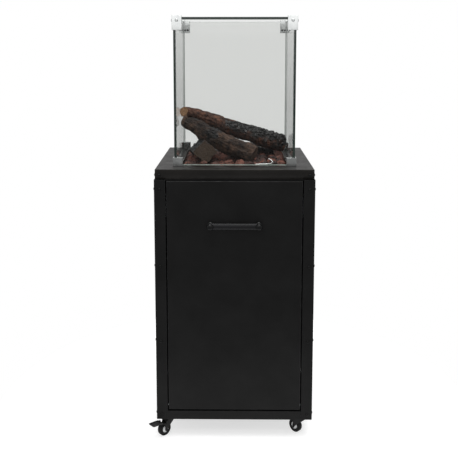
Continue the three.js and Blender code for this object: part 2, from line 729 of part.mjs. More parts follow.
function igniterButton() {
  const button = facingFront(turned([
    [0, -BUTTON_FRONT],
    [BUTTON_RADIUS - 1, -BUTTON_FRONT],
    [BUTTON_RADIUS, -BUTTON_FRONT - 1],
    [BUTTON_RADIUS, -BUTTON_BACK],
    [STEM_RADIUS, -BUTTON_BACK],
    [STEM_RADIUS, -PLUNGER_BACK],
    [0, -PLUNGER_BACK],
  ], 20), BUTTON_X, CONTROL_Z);
  return mesh('igniter_button', button, MATERIALS.plastic);
}

function igniterModule() {
  const half = IGNITER_WIDTH / 2;
  const front = PANEL_BACK + GAP;
  const boreEnd = PLUNGER_BACK + BUTTON_TRAVEL + 1;
  const housing = cut(
    box([BUTTON_X - half, front, CONTROL_Z - half], [BUTTON_X + half, front + 45, CONTROL_Z + half]),
    bar(STEM_RADIUS + 0.5, [BUTTON_X, FRONT, CONTROL_Z], [BUTTON_X, boreEnd, CONTROL_Z]),
  );
  return mesh('igniter_module', housing, MATERIALS.plastic);
}

// ---------------------------------------------------------------- glass wind guard

function pane(name, low, high) {
  return mesh(name, box([...low, GLASS_BOTTOM], [...high, GLASS_TOP]), MATERIALS.glass);
}

function panes() {
  const endX = GUARD_HALF - GLASS - GAP;
  return [
    pane('glass_left', [-GUARD_HALF, -GUARD_HALF], [-GUARD_HALF + GLASS, GUARD_HALF]),
    pane('glass_right', [GUARD_HALF - GLASS, -GUARD_HALF], [GUARD_HALF, GUARD_HALF]),
    pane('glass_front', [-endX, -GUARD_HALF], [endX, -GUARD_HALF + GLASS]),
    pane('glass_rear', [-endX, GUARD_HALF - GLASS], [endX, GUARD_HALF]),
  ];
}

// A corner clip grips the two panes that meet there; it is closed over or under the glass.
function cornerClip(corner, level, z0, z1, slot0, slot1, screws) {
  const outer = -CLIP_OUTER - GAP;
  const inner = GLASS + GAP + CLIP_INNER;
  const end = outer + CLIP_WIDTH;
  const beyond = end + 1;
  const slotInner = GLASS + GAP;
  const clip = cut(
    join(box([outer, outer, z0], [end, end, z1]), ...screws),
    box([inner, inner, z0 - 1], [beyond, beyond, z1 + 1]),
    box([-GAP, -GAP, slot0], [beyond, slotInner, slot1]),
    box([-GAP, -GAP, slot0], [slotInner, beyond, slot1]),
  );
  const piece = mesh(`clip_${level}_${corner.name}`, clip, MATERIALS.polishedSteel);
  piece.position.set(corner.x * GUARD_HALF, corner.y * GUARD_HALF, 0);
  piece.rotation.z = corner.turn * QUARTER;
  return piece;
}

function topClip(corner) {
  const bottom = GUARD_TOP - TOP_CLIP_HEIGHT;
  const face = -CLIP_OUTER - GAP;
  const z = GUARD_TOP - CLIP_SCREW_DROP;
  const screws = [screwOnFront(CLIP_SCREW_INSET, face, z), screwOnLeft(face, CLIP_SCREW_INSET, z)];
  return cornerClip(corner, 'top', bottom, GUARD_TOP, bottom - 1, GLASS_TOP + GAP, screws);
}

function bottomClip(corner) {
  const top = CLIP_BOTTOM + BOTTOM_CLIP_HEIGHT;
  return cornerClip(corner, 'bottom', CLIP_BOTTOM, top, CLIP_BOTTOM + CLIP_FOOT, top + 1, []);
}

// ---------------------------------------------------------------- door

function doorPanel() {
  const low = [-DOOR_X, DOOR_FRONT, DOOR_BOTTOM];
  const high = [DOOR_X, DOOR_BACK, DOOR_TOP];
  const hollowLow = [-DOOR_X + SHEET, DOOR_FRONT + SHEET, DOOR_BOTTOM + SHEET];
  const hollowHigh = [DOOR_X - SHEET, DOOR_BACK + 1, DOOR_TOP - SHEET];
  const cuts = [box(hollowLow, hollowHigh)];
  for (const side of [LEFT, RIGHT]) {
    const edge = side * (DOOR_X - SHEET);
    const notchEnd = side * (DOOR_X - HINGE_NOTCH);
    cuts.push(box(
      [Math.min(edge, notchEnd), DOOR_FRONT + SHEET, DOOR_BOTTOM - 1],
      [Math.max(edge, notchEnd), DOOR_BACK + 1, DOOR_BOTTOM + SHEET + 1],
    ));
  }
  const hole = PIN_RADIUS + RUNNING_GAP;
  cuts.push(bar(hole, [-DOOR_X - 1, PIVOT_Y, PIVOT_Z], [DOOR_X + 1, PIVOT_Y, PIVOT_Z], 24));
  return mesh('door_panel', cut(box(low, high), ...cuts), MATERIALS.powderCoat);
}

// An arm behind the hinge axis, its upright down to the base plate, and the pin out through the door's edge.
function hingeBracket(side, name) {
  const inner = side * (DOOR_X - HINGE_NOTCH / 2 - HINGE_SHEET);
  const outer = inner + side * HINGE_SHEET;
  const x0 = Math.min(inner, outer);
  const x1 = Math.max(inner, outer);
  const armHalf = 4;
  const upright = PIVOT_Y + HINGE_ARM;
  const bracket = join(
    box([x0, PIVOT_Y - armHalf, PIVOT_Z - armHalf], [x1, upright + HINGE_SHEET, PIVOT_Z + armHalf]),
    box([x0, upright, BASE_TOP + GAP], [x1, upright + HINGE_SHEET, PIVOT_Z + armHalf]),
    box([x0, upright, BASE_TOP + GAP], [x1, upright + 20, BASE_TOP + GAP + PLATE]),
    bar(PIN_RADIUS, [inner, PIVOT_Y, PIVOT_Z], [side * (DOOR_X + 1.5), PIVOT_Y, PIVOT_Z], 24),
  );
  return mesh(name, bracket, MATERIALS.galvanised);
}

function doorMagnet() {
  const front = DOOR_BACK + 0.5;
  const top = POST_TOP;
  return mesh('door_magnet', box([-25, front, top - 20], [25, front + 16, top]), MATERIALS.plastic);
}

function doorHandle() {
  const half = HANDLE_CENTRES / 2;
  const z = LID_TOP - HANDLE_DROP;
  const face = DOOR_FRONT - GAP;
  const tip = face - HANDLE_STANDOFF + GAP;
  const neck = HANDLE_FOOT_RADIUS * 0.7;
  const foot = (x) => facingFront(turned([
    [0, -tip],
    [HANDLE_FOOT_RADIUS * 0.6, -tip - 1.5],
    [HANDLE_FOOT_RADIUS, -tip - 6],
    [HANDLE_FOOT_RADIUS, -tip - 11],
    [neck, -tip - 15],
    [neck, -face + 3],
    [HANDLE_FOOT_RADIUS, -face + 2],
    [HANDLE_FOOT_RADIUS, -face],
    [0, -face],
  ], 20), x, z);
  const section = new THREE.Shape();
  section.absellipse(0, 0, HANDLE_BAR_DEPTH / 2, HANDLE_BAR_HEIGHT / 2, 0, 2 * Math.PI, false, 0);
  const grip = extrude(section, HANDLE_CENTRES, 8);
  grip.rotateX(QUARTER).rotateZ(QUARTER).translate(-half, 0, 0);
  grip.translate(0, tip + 2 + HANDLE_BAR_DEPTH / 2, z);
  return mesh('door_handle', join(grip, foot(-half), foot(half)), MATERIALS.glossBlack);
}

// ---------------------------------------------------------------- casters

const LEG_INNER = WHEEL_WIDTH / 2 + FORK_SIDE_ROOM;
const LEG_OUTER = LEG_INNER + FORK_PLATE;
const ARM_INNER = LEG_OUTER + GAP;
const ARM_OUTER = ARM_INNER + PEDAL_SHEET;
const CROWN_BACK = -12;

function casterPlate(corner, x, y) {
  const half = MOUNT_PLATE_WIDTH / 2;
  const cup = turned([
    [0, CUP_TOP + 1],
    [CUP_RADIUS, CUP_TOP + 1],
    [CUP_RADIUS, CUP_BOTTOM],
    [KINGPIN_RADIUS, CUP_BOTTOM],
    [KINGPIN_RADIUS, CROWN_BOTTOM - 1],
    [0, CROWN_BOTTOM - 1],
  ]);
  const plate = join(block(half, half, CUP_TOP, CASTER_HEIGHT), cup);
  return mesh(`caster_${corner.name}_plate`, plate.translate(x, y, 0), MATERIALS.glossBlack);
}

// The wheel trails towards +X of the caster's own turned group.
function forkLeg(y0, y1) {
  const outline = new THREE.Shape();
  const boss = 6;
  outline.moveTo(CROWN_BACK, CROWN_TOP);
  outline.lineTo(CROWN_BACK, CROWN_BOTTOM);
  outline.lineTo(TRAIL - boss, WHEEL_RADIUS);
  outline.absarc(TRAIL, WHEEL_RADIUS, boss, Math.PI, 2 * Math.PI, false);
  outline.lineTo(TRAIL - 1, CROWN_TOP);
  return extrudeAcross(outline, y0, y1);
}

function casterFork(corner) {
  const axleHalf = corner.brake ? ARM_OUTER + 1 : LEG_OUTER + 1.5;
  const fork = cut(
    join(
      box([CROWN_BACK, -LEG_OUTER, CROWN_BOTTOM], [TRAIL - 1, LEG_OUTER, CROWN_TOP]),
      forkLeg(LEG_INNER, LEG_OUTER),
      forkLeg(-LEG_OUTER, -LEG_INNER),
      bar(AXLE_RADIUS, [TRAIL, -axleHalf, WHEEL_RADIUS], [TRAIL, axleHalf, WHEEL_RADIUS]),
    ),
    bar(KINGPIN_RADIUS + GAP, [0, 0, CROWN_BOTTOM - 1], [0, 0, CROWN_TOP + 1], 24),
  );
  return mesh(`caster_${corner.name}_fork`, fork, MATERIALS.glossBlack);
}

function casterWheel(corner) {
  const half = WHEEL_WIDTH / 2;
  const bore = AXLE_RADIUS + GAP;
  const hub = half + 0.5;
  const shoulder = WHEEL_RADIUS - 2;
  const wheel = turned([
    [bore, hub],
    [bore + 4, hub],
    [bore + 5, half - 1],
    [shoulder, half],
    [WHEEL_RADIUS, half - 2],
    [WHEEL_RADIUS, 2 - half],
    [shoulder, -half],
    [bore + 5, 1 - half],
    [bore + 4, -hub],
    [bore, -hub],
    [bore, hub],
  ]);
  wheel.rotateX(QUARTER).translate(TRAIL, 0, WHEEL_RADIUS);
  return mesh(`caster_${corner.name}_wheel`, wheel, MATERIALS.rubber);
}

function brakeArm(y0, y1, tipBottom) {
  const outline = new THREE.Shape();
  const boss = 6.5;
  outline.absarc(TRAIL, WHEEL_RADIUS, boss, Math.PI, 2 * Math.PI, false);
  outline.lineTo(PEDAL_REACH, tipBottom);
  outline.lineTo(PEDAL_REACH, tipBottom + PEDAL_SHEET);
  outline.lineTo(TRAIL + 19, tipBottom + PEDAL_SHEET);
  return extrudeAcross(outline, y0, y1);
}

function brakePedal(corner) {
  const tipBottom = CROWN_TOP - 1;
  const tread = box(
    [TRAIL + 21, -ARM_OUTER, tipBottom],
    [PEDAL_REACH, ARM_OUTER, tipBottom + PEDAL_SHEET],
  );
  const hole = AXLE_RADIUS + GAP;
  const pedal = cut(
    join(tread, brakeArm(ARM_INNER, ARM_OUTER, tipBottom), brakeArm(-ARM_OUTER, -ARM_INNER, tipBottom)),
    bar(hole, [TRAIL, -ARM_OUTER - 1, WHEEL_RADIUS], [TRAIL, ARM_OUTER + 1, WHEEL_RADIUS]),
  );
  return mesh(`caster_${corner.name}_brake`, pedal, MATERIALS.plastic);
}

function caster(corner) {
  const x = corner.x * (HALF_WIDTH - CASTER_INSET_X);
  const y = corner.y * (HALF_DEPTH - CASTER_INSET_Y);
  const turning = new THREE.Group();
  turning.position.set(x, y, 0);
  turning.rotation.z = corner.casterYaw;
  turning.add(casterFork(corner), casterWheel(corner));
  if (corner.brake) turning.add(brakePedal(corner));
  return [casterPlate(corner, x, y), turning];
}

// ---------------------------------------------------------------- assembly

const heater = new THREE.Group();
heater.add(
  ...CORNERS.map(cornerPost),
  sidePanel(LEFT, 'side_panel_left'),
  sidePanel(RIGHT, 'side_panel_right'),
  rearPanel(),
  basePlate(),
  bottomRail(),
  topFrame(),
  lid(),
  burnerPan(),
  burner(),
  lavaBed(),
  ...LOGS.map((log) => mesh(log.name, logShape(log), log.material)),
  thermocouple(),
  electrode(),
  heatShield(),
  controlPanel(),
  gasValve(),
  gasInlet(),
  gasPipe(),
  valveStem(),
  controlKnob(),
  igniterButton(),
  igniterModule(),
  ...panes(),
  ...CORNERS.map(topClip),
  ...CORNERS.map(bottomClip),
  doorPanel(),
  hingeBracket(LEFT, 'hinge_bracket_left'),
  hingeBracket(RIGHT, 'hinge_bracket_right'),
  doorMagnet(),
  doorHandle(),
  ...CORNERS.flatMap(caster),
);

export default heater;
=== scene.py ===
"""The looks of the outdoor gas heater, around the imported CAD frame. Metres; +X right, +Y back, +Z up."""
import math
import random

import bmesh
import bpy
from mathutils import Matrix, Vector, noise


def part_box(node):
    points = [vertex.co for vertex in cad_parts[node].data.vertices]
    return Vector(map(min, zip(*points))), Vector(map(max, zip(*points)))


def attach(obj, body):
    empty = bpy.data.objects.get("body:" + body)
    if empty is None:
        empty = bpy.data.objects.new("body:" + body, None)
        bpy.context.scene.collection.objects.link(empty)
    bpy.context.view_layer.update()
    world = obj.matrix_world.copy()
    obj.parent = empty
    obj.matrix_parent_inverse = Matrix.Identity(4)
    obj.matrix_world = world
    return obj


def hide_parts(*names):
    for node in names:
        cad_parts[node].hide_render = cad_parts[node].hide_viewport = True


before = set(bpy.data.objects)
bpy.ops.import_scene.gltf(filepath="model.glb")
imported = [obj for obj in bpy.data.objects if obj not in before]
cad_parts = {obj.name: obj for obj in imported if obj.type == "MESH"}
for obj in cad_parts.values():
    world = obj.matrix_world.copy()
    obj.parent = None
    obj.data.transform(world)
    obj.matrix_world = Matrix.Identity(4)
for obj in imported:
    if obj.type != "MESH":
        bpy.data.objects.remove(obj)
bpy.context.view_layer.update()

MM = 0.001
X_AXIS = Vector((1, 0, 0))
Y_AXIS = Vector((0, 1, 0))
Z_AXIS = Vector((0, 0, 1))
CORNERS = {
    "front_left": (-1, -1),
    "front_right": (1, -1),
    "rear_right": (1, 1),
    "rear_left": (-1, 1),
}
SCREW_RISE = 2.6 * MM
RANDOM = random.Random(7)


# ---- node graphs

def srgb(red, green, blue):
    """A colour given as 0-255 display values, as a linear RGBA tuple."""
    def linear(value):
        value /= 255
        return value / 12.92 if value <= 0.04045 else ((value + 0.055) / 1.055) ** 2.4
    return (linear(red), linear(green), linear(blue), 1)


def put(socket, value):
    if isinstance(value, bpy.types.NodeSocket):
        socket.id_data.links.new(value, socket)
    else:
        socket.default_value = value


def put_all(node, values):
    """Sets a node's inputs by name, where _ stands for a space."""
    for key, value in values.items():
        put(node.inputs[key.replace("_", " ")], value)


def add_node(tree, kind, **values):
    made = tree.nodes.new(f"ShaderNode{kind}")
    put_all(made, values)
    return made


class Graph:
    """A material with one Principled surface, and short calls for the nodes that feed it."""

    def __init__(self, name):
        self.material = bpy.data.materials.new(name)
        self.material.use_nodes = True
        self.tree = self.material.node_tree
        self.tree.nodes.clear()
        self.output = self.node("OutputMaterial")
        self.surface = self.node("BsdfPrincipled")
        self.tree.links.new(self.surface.outputs["BSDF"], self.output.inputs["Surface"])
        self.place = self.node("TexCoord").outputs["Object"]

    def node(self, kind, **values):
        return add_node(self.tree, kind, **values)

    def set(self, **values):
        put_all(self.surface, values)

    def stretched(self, x, y, z):
        return self.node("Mapping", Vector=self.place, Scale=(x, y, z)).outputs["Vector"]

    def noise(self, scale, detail=4, rough=0.55, where=None, twist=0):
        made = self.node("TexNoise", Vector=where or self.place, Scale=scale, Detail=detail)
        put_all(made, {"Roughness": rough, "Distortion": twist})
        return made.outputs["Fac"]

    def cells(self, scale, feature="F1", output="Distance"):
        made = self.node("TexVoronoi", Vector=self.place, Scale=scale)
        made.feature = feature
        return made.outputs[output]

    def attribute(self, name):
        made = self.node("Attribute")
        made.attribute_name = name
        return made.outputs["Fac"]

    def remap(self, value, low, high, to_low, to_high):
        made = self.node("MapRange", Value=value, From_Min=low, From_Max=high, To_Min=to_low, To_Max=to_high)
        return made.outputs["Result"]

    def math(self, operation, first, second=0.0):
        made = self.node("Math")
        made.operation = operation
        put(made.inputs[0], first)
        put(made.inputs[1], second)
        return made.outputs["Value"]

    def mix(self, factor, first, second):
        """Mixes two colours, whose sockets are the Mix node's inputs 6 and 7, and its output 2."""
        made = self.node("Mix")
        made.data_type = "RGBA"
        put(made.inputs["Factor"], factor)
        put(made.inputs[6], first)
        put(made.inputs[7], second)
        return made.outputs[2]

    def ramp(self, factor, *stops):
        made = self.node("ValToRGB", Fac=factor)
        elements = made.color_ramp.elements
        while len(elements) < len(stops):
            elements.new(0.5)
        for element, (position, colour) in zip(elements, stops):
            element.position = position
            element.color = colour
        return made.outputs["Color"]

    def bump(self, height, strength, depth_mm, under=None):
        made = self.node("Bump", Height=height, Strength=strength, Distance=depth_mm * MM)
        if under is not None:
            put(made.inputs["Normal"], under)
        return made.outputs["Normal"]


# ---- materials

def powder_coat(name, colours, roughness, grain=900, grain_strength=0.25, mottle=0.0, level=0.12):
    """Textured black powder coat: fine orange peel, slight cloudiness, a few dull wiped patches.

    colours and roughness give the two ends that the coat varies between."""
    dark, light = colours
    rough_low, rough_high = roughness
    g = Graph(name)
    cloud = g.noise(9, 5, 0.6)
    speck = g.noise(grain * 1.7, 2, 0.5)
    shade = g.math("ADD", g.remap(cloud, 0.3, 0.7, 0, 1 - mottle), g.remap(speck, 0.35, 0.65, 0, mottle))
    g.set(Base_Color=g.ramp(shade, (0, dark), (1, light)))
    patches = g.noise(26, 4, 0.65, twist=0.4)
    g.set(Roughness=g.remap(patches, 0.3, 0.7, rough_low, rough_high))
    peel = g.bump(g.noise(grain, 3, 0.6), grain_strength, 0.12)
    waves = g.bump(g.noise(55, 2, 0.5), 0.05, 0.4, peel)
    g.set(Normal=waves, Metallic=0.0, IOR=1.5, Specular_IOR_Level=level)
    return g.material


def edge_wear_and_highlight(name, paint, metal, rough):
    """The same paint where it thins over a fold, painted lighter there: partly thin paint, partly a painted
    highlight of the bend. Rubbed here and there to a greyer tone.
    """
    g = Graph(name)
    rub = g.ramp(g.noise(60, 5, 0.7), (0.5, (0, 0, 0, 1)), (0.72, (1, 1, 1, 1)))
    g.set(Base_Color=g.mix(rub, paint, metal))
    g.set(Roughness=g.remap(g.noise(300, 3), 0.3, 0.7, rough, rough + 0.15))
    g.set(Normal=g.bump(g.noise(900, 2), 0.15, 0.08), IOR=1.5, Specular_IOR_Level=0.2)
    return g.material


def polished_steel(name, dark, light, rough):
    """Bright steel with faint finger smears and drawing lines."""
    g = Graph(name)
    smear = g.noise(40, 5, 0.6, twist=0.6)
    g.set(Base_Color=g.ramp(smear, (0.25, dark), (0.8, light)))
    hairline = g.noise(60, 2, 0.5, g.stretched(1, 1, 60))
    g.set(Metallic=1.0, Roughness=g.remap(smear, 0.3, 0.75, rough, rough + 0.1))
    g.set(Normal=g.bump(hairline, 0.05, 0.05))
    return g.material


def stainless(name, bright, straw, blue):
    """Brushed sheet with the straw and blue tints that heat leaves."""
    g = Graph(name)
    brushed = g.noise(30, 3, 0.6, g.stretched(3, 60, 60))
    heat = g.noise(14, 4, 0.6)
    g.set(Base_Color=g.ramp(heat, (0.3, blue), (0.65, bright), (0.8, straw)))
    g.set(Metallic=1.0, Roughness=g.remap(brushed, 0.3, 0.7, 0.24, 0.42), Normal=g.bump(brushed, 0.12, 0.05))
    return g.material


def galvanised():
    """Zinc-coated sheet with its crystal spangle."""
    g = Graph("galvanised")
    spangle = g.cells(150, output="Color")
    g.set(Base_Color=g.ramp(spangle, (0.2, srgb(138, 141, 143)), (0.8, srgb(168, 171, 173))), Metallic=0.9)
    spread = g.noise(45, 4, 0.6)
    g.set(Roughness=g.remap(spread, 0.3, 0.7, 0.36, 0.55), Normal=g.bump(g.noise(400, 3), 0.12, 0.08))
    return g.material


def cast_alloy():
    """The grainy skin of a die casting."""
    g = Graph("cast_alloy")
    grain = g.noise(700, 4, 0.6)
    g.set(Base_Color=g.ramp(g.noise(60, 4), (0.3, srgb(120, 121, 122)), (0.75, srgb(158, 159, 160))))
    g.set(Metallic=0.85, Roughness=g.remap(grain, 0.3, 0.7, 0.42, 0.6), Normal=g.bump(grain, 0.3, 0.15))
    return g.material


def brass():
    """Machined brass, dulled in patches."""
    g = Graph("brass")
    tarnish = g.noise(90, 5, 0.65)
    g.set(Base_Color=g.ramp(tarnish, (0.3, srgb(132, 98, 48)), (0.62, srgb(196, 158, 84))), Metallic=1.0)
    g.set(Roughness=g.remap(tarnish, 0.3, 0.7, 0.42, 0.24), Normal=g.bump(g.noise(600, 2), 0.08, 0.05))
    return g.material


def moulded(name, dark, light, rough, grain, strength, level=0.5):
    """Moulded plastic or rubber with a fine pebbled skin and some dust."""
    g = Graph(name)
    dust = g.noise(70, 5, 0.6)
    g.set(Base_Color=g.ramp(dust, (0.35, dark), (0.8, light)))
    g.set(Roughness=g.remap(dust, 0.3, 0.7, rough, rough + 0.14))
    g.set(Normal=g.bump(g.cells(grain), strength, 0.1), IOR=1.48, Specular_IOR_Level=level)
    return g.material


def porcelain():
    """Glazed insulator, lightly stained by heat."""
    g = Graph("porcelain")
    stain = g.noise(160, 4, 0.6)
    g.set(Base_Color=g.ramp(stain, (0.3, srgb(190, 176, 154)), (0.6, srgb(232, 226, 214))))
    g.set(Roughness=g.remap(stain, 0.3, 0.7, 0.38, 0.22), Normal=g.bump(stain, 0.05, 0.1))
    return g.material


def lava_rock():
    """Reddish-brown porous rock, darker in the pores as painted shade, and greyer where soot lies."""
    g = Graph("lava_rock")
    mottle = g.math("MULTIPLY", g.noise(75, 6, 0.65), 0.55)
    tone = g.math("MULTIPLY", g.attribute("tone"), 0.45)
    body = g.math("ADD", mottle, tone)
    colour = g.ramp(body, (0.2, srgb(26, 18, 16)), (0.45, srgb(80, 47, 39)), (0.68, srgb(136, 86, 72)))
    soot = g.ramp(g.noise(28, 4, 0.6), (0.46, (0, 0, 0, 1)), (0.64, (1, 1, 1, 1)))
    colour = g.mix(g.math("MULTIPLY", soot, 0.7), colour, srgb(62, 50, 46))
    pores = g.cells(420)
    holes = g.remap(pores, 0.1, 0.45, 0, 1)
    # The pits get a dark colour where the bump sinks them: painted shade.
    g.set(Base_Color=g.mix(holes, srgb(30, 19, 17), colour), Roughness=g.remap(body, 0.3, 0.7, 0.82, 0.98))
    g.set(Normal=g.bump(g.noise(900, 4, 0.7), 0.5, 0.5, g.bump(holes, 0.9, 1.2)))
    return g.material


def log_surface(name, bark_dark, bark_light, cut_light):
    """Bark, char and cut ends on one surface, told apart by the point attributes char, cut and ring."""
    g = Graph(name)
    char = g.attribute("char")
    cut = g.attribute("cut")
    ring = g.attribute("ring")
    grain = g.noise(70, 6, 0.7)
    bark = g.ramp(grain, (0.36, bark_dark), (0.64, bark_light))
    bark = g.mix(g.remap(g.noise(24, 3), 0.42, 0.62, 0, 0.75), bark, bark_dark)
    fissure = g.cells(85, "DISTANCE_TO_EDGE")
    cracks = g.remap(fissure, 0.0, 0.12, 0, 1)
    soot = g.noise(160, 5, 0.7)
    black = g.ramp(soot, (0.35, srgb(3, 3, 3)), (0.62, srgb(10, 9, 8)), (0.82, srgb(52, 49, 47)))
    # The cracks between char blocks, sunk by the bump, are painted near black: painted shade.
    black = g.mix(cracks, srgb(4, 4, 4), black)
    edge = g.math("ADD", char, g.remap(g.noise(60, 6, 0.75), 0.3, 0.7, -0.5, 0.5))
    burnt = g.remap(edge, 0.3, 0.7, 0, 1)
    skin = g.mix(burnt, bark, black)
    wave = g.node("TexNoise", Scale=620, Detail=2)
    wave.noise_dimensions = "1D"
    put(wave.inputs["W"], ring)
    rings = g.mix(g.remap(wave.outputs["Fac"], 0.35, 0.65, 0, 1), cut_light, bark_light)
    rings = g.mix(g.remap(g.noise(240, 4), 0.35, 0.8, 0, 0.8), rings, bark_dark)
    g.set(Base_Color=g.mix(cut, skin, rings), Specular_IOR_Level=0.36)
    gloss = g.ramp(g.noise(150, 4, 0.6), (0.42, (0.7,) * 3 + (1,)), (0.6, (0.12,) * 3 + (1,)))
    g.set(Roughness=g.mix(burnt, (0.85,) * 3 + (1,), gloss))
    fine = g.bump(g.noise(420, 5, 0.7), 0.7, 0.9)
    g.set(Normal=g.bump(cracks, 0.6, 1.4, fine))
    return g.material


def clear_glass():
    """Clear float glass: tinted see-through with a Fresnel reflection on top, and faint wiping marks."""
    g = Graph("glass_face")
    clear = g.node("BsdfTransparent", Color=(0.898, 0.902, 0.897, 1))
    smears = g.remap(g.noise(7, 4, 0.6, twist=0.8), 0.35, 0.75, 0.01, 0.06)
    gloss = g.node("BsdfGlossy", Color=(1, 1, 1, 1), Roughness=smears)
    grazing = g.math("POWER", g.node("LayerWeight", Blend=0.5).outputs["Facing"], 5.0)
    inside = g.node("NewGeometry").outputs["Backfacing"]
    mirror = g.math("ADD", 0.012, g.math("MULTIPLY", grazing, 0.96))
    mixed = g.node("MixShader", Fac=g.math("MULTIPLY", mirror, g.math("SUBTRACT", 1.0, inside)))
    put(mixed.inputs[1], clear.outputs["BSDF"])
    put(mixed.inputs[2], gloss.outputs["BSDF"])
    put(g.output.inputs["Surface"], mixed.outputs["Shader"])
    g.tree.nodes.remove(g.surface)
    return g.material


def glass_edge(name, dark, light):
    """The cut edge of a pane, where the green of the glass shows."""
    g = Graph(name)
    streak = g.noise(50, 4, 0.6, g.stretched(1, 1, 0.2))
    g.set(Base_Color=g.ramp(streak, (0.3, dark), (0.7, light)), IOR=1.5)
    g.set(Roughness=g.remap(streak, 0.3, 0.7, 0.12, 0.3), Normal=g.bump(g.noise(500, 2), 0.06, 0.05))
    return g.material


PAINT = powder_coat("powder_coat", (srgb(14, 14, 14), srgb(22, 22, 22)), (0.4, 0.5))
# Fold edges of the paint: lighter along the folds, partly thin paint and partly a painted highlight.
PAINT_EDGE = edge_wear_and_highlight("powder_coat_edge", srgb(24, 24, 24), srgb(52, 52, 53), 0.35)
LID_PAINT = powder_coat(
    "lid_coat", (srgb(15, 14, 13), srgb(38, 36, 34)), (0.34, 0.46), grain=620, grain_strength=0.5, mottle=0.6)
# The lid's fold edges, lighter in the same way: partly thin paint, partly a painted highlight.
LID_EDGE = edge_wear_and_highlight("lid_coat_edge", srgb(24, 22, 20), srgb(56, 52, 48), 0.4)
GLOSS_BLACK = powder_coat(
    "gloss_black", (srgb(4, 4, 5), srgb(8, 8, 9)), (0.07, 0.13), grain=260, grain_strength=0.03, level=0.26)
CASTER_BLACK = powder_coat(
    "caster_black", (srgb(4, 4, 4), srgb(10, 10, 10)), (0.28, 0.42),
    grain=500, grain_strength=0.15, level=0.18)
BAR_BLACK = powder_coat(
    "bar_black", (srgb(12, 12, 14), srgb(20, 20, 23)), (0.22, 0.32),
    grain=400, grain_strength=0.06, level=0.24)
STEEL = polished_steel("polished_steel", srgb(176, 178, 178), srgb(214, 216, 215), 0.1)
# A darker, rougher copy of the steel, used on the bottom clips.
DULL_STEEL = polished_steel("darker_steel", srgb(128, 130, 130), srgb(172, 174, 173), 0.16)
STAINLESS = stainless("stainless", srgb(176, 176, 175), srgb(160, 140, 112), srgb(150, 146, 138))
SOOTED = stainless("sooted_stainless", srgb(66, 64, 62), srgb(58, 48, 40), srgb(40, 39, 40))
ZINC = galvanised()
ALLOY = cast_alloy()
BRASS = brass()
PORCELAIN = porcelain()
PLASTIC = moulded("black_plastic", srgb(17, 17, 18), srgb(34, 34, 35), 0.38, 1400, 0.2)
RUBBER = moulded("wheel_rubber", srgb(4, 4, 4), srgb(12, 12, 11), 0.6, 1100, 0.3, 0.2)
HUB_GREY = moulded("hub_plastic", srgb(196, 197, 198), srgb(222, 223, 223), 0.42, 900, 0.12)
LAVA = lava_rock()
CHARRED = log_surface("charred_log", srgb(13, 9, 8), srgb(88, 67, 54), srgb(76, 62, 52))
CHARRED_TAN = log_surface("charred_log_pale_end", srgb(14, 8, 7), srgb(104, 68, 51), srgb(204, 162, 120))
BARK = log_surface("bark_log", srgb(24, 18, 15), srgb(66, 53, 44), srgb(92, 77, 64))
GLASS_FACE = clear_glass()
# Two copies of the glass edge colour: a dark green one for edges in shade, painted shade, and a pale one for
# edges that catch the light, a painted highlight.
GLASS_EDGE = glass_edge("glass_edge", srgb(9, 26, 20), srgb(20, 40, 32))
GLASS_EDGE_HIGHLIGHT = glass_edge("glass_edge_lit", srgb(132, 146, 138), srgb(178, 188, 181))


# ---- meshes

def add_object(name, data):
    made = bpy.data.objects.new(name, data)
    bpy.context.scene.collection.objects.link(made)
    return made


def new_object(name, bm, materials):
    mesh = bpy.data.meshes.new(name)
    bm.to_mesh(mesh)
    bm.free()
    for material in materials:
        mesh.materials.append(material)
    return add_object(name, mesh)


def place(piece, body, slot, *nodes):
    """A finished piece rides on its body and stands for the CAD nodes given; slot is not used."""
    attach(piece, body)
    if nodes:
        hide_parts(*nodes)
    return piece


def smooth(piece):
    for polygon in piece.data.polygons:
        polygon.use_smooth = True


def rounded_edges(piece, width_mm, segments=2, angle=30, material=-1):
    bevel = piece.modifiers.new("edges", "BEVEL")
    bevel.width = width_mm * MM
    bevel.segments = segments
    bevel.limit_method = "ANGLE"
    bevel.angle_limit = math.radians(angle)
    bevel.material = material
    bevel.use_clamp_overlap = True
    piece.modifiers.new("flat faces", "WEIGHTED_NORMAL").keep_sharp = True


def thicken(piece, thickness_mm):
    """Gives a single-skin sheet its thickness, inwards."""
    sheet = piece.modifiers.new("sheet", "SOLIDIFY")
    sheet.thickness = thickness_mm * MM
    sheet.offset = -1


def softened(node, body, slot, materials, width_mm=0.5, trim=None):
    """A copy of a CAD node with its flat faces merged and its edges rounded. trim cuts off the plain screw
    heads that stand beyond +-trim in X and Y, and closes the face under them."""
    bm = bmesh.new()
    bm.from_mesh(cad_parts[node].data)
    bmesh.ops.remove_doubles(bm, verts=bm.verts, dist=0.01 * MM)
    if trim:
        limit_x, limit_y = trim
        proud = [v for v in bm.verts if abs(v.co.x) > limit_x or abs(v.co.y) > limit_y]
        bmesh.ops.delete(bm, geom=proud, context="VERTS")
        rims = [e for e in bm.edges if e.is_boundary]
        bmesh.ops.holes_fill(bm, edges=rims, sides=0)
    bmesh.ops.dissolve_limit(bm, angle_limit=math.radians(1), verts=bm.verts, edges=bm.edges)
    made = new_object(f"{node}_finished", bm, materials)
    smooth(made)
    rounded_edges(made, width_mm, material=len(materials) - 1)
    return place(made, body, slot, node)


def ring_points(radius, sides):
    return [
        (radius * math.cos(2 * math.pi * i / sides), radius * math.sin(2 * math.pi * i / sides))
        for i in range(sides)
    ]


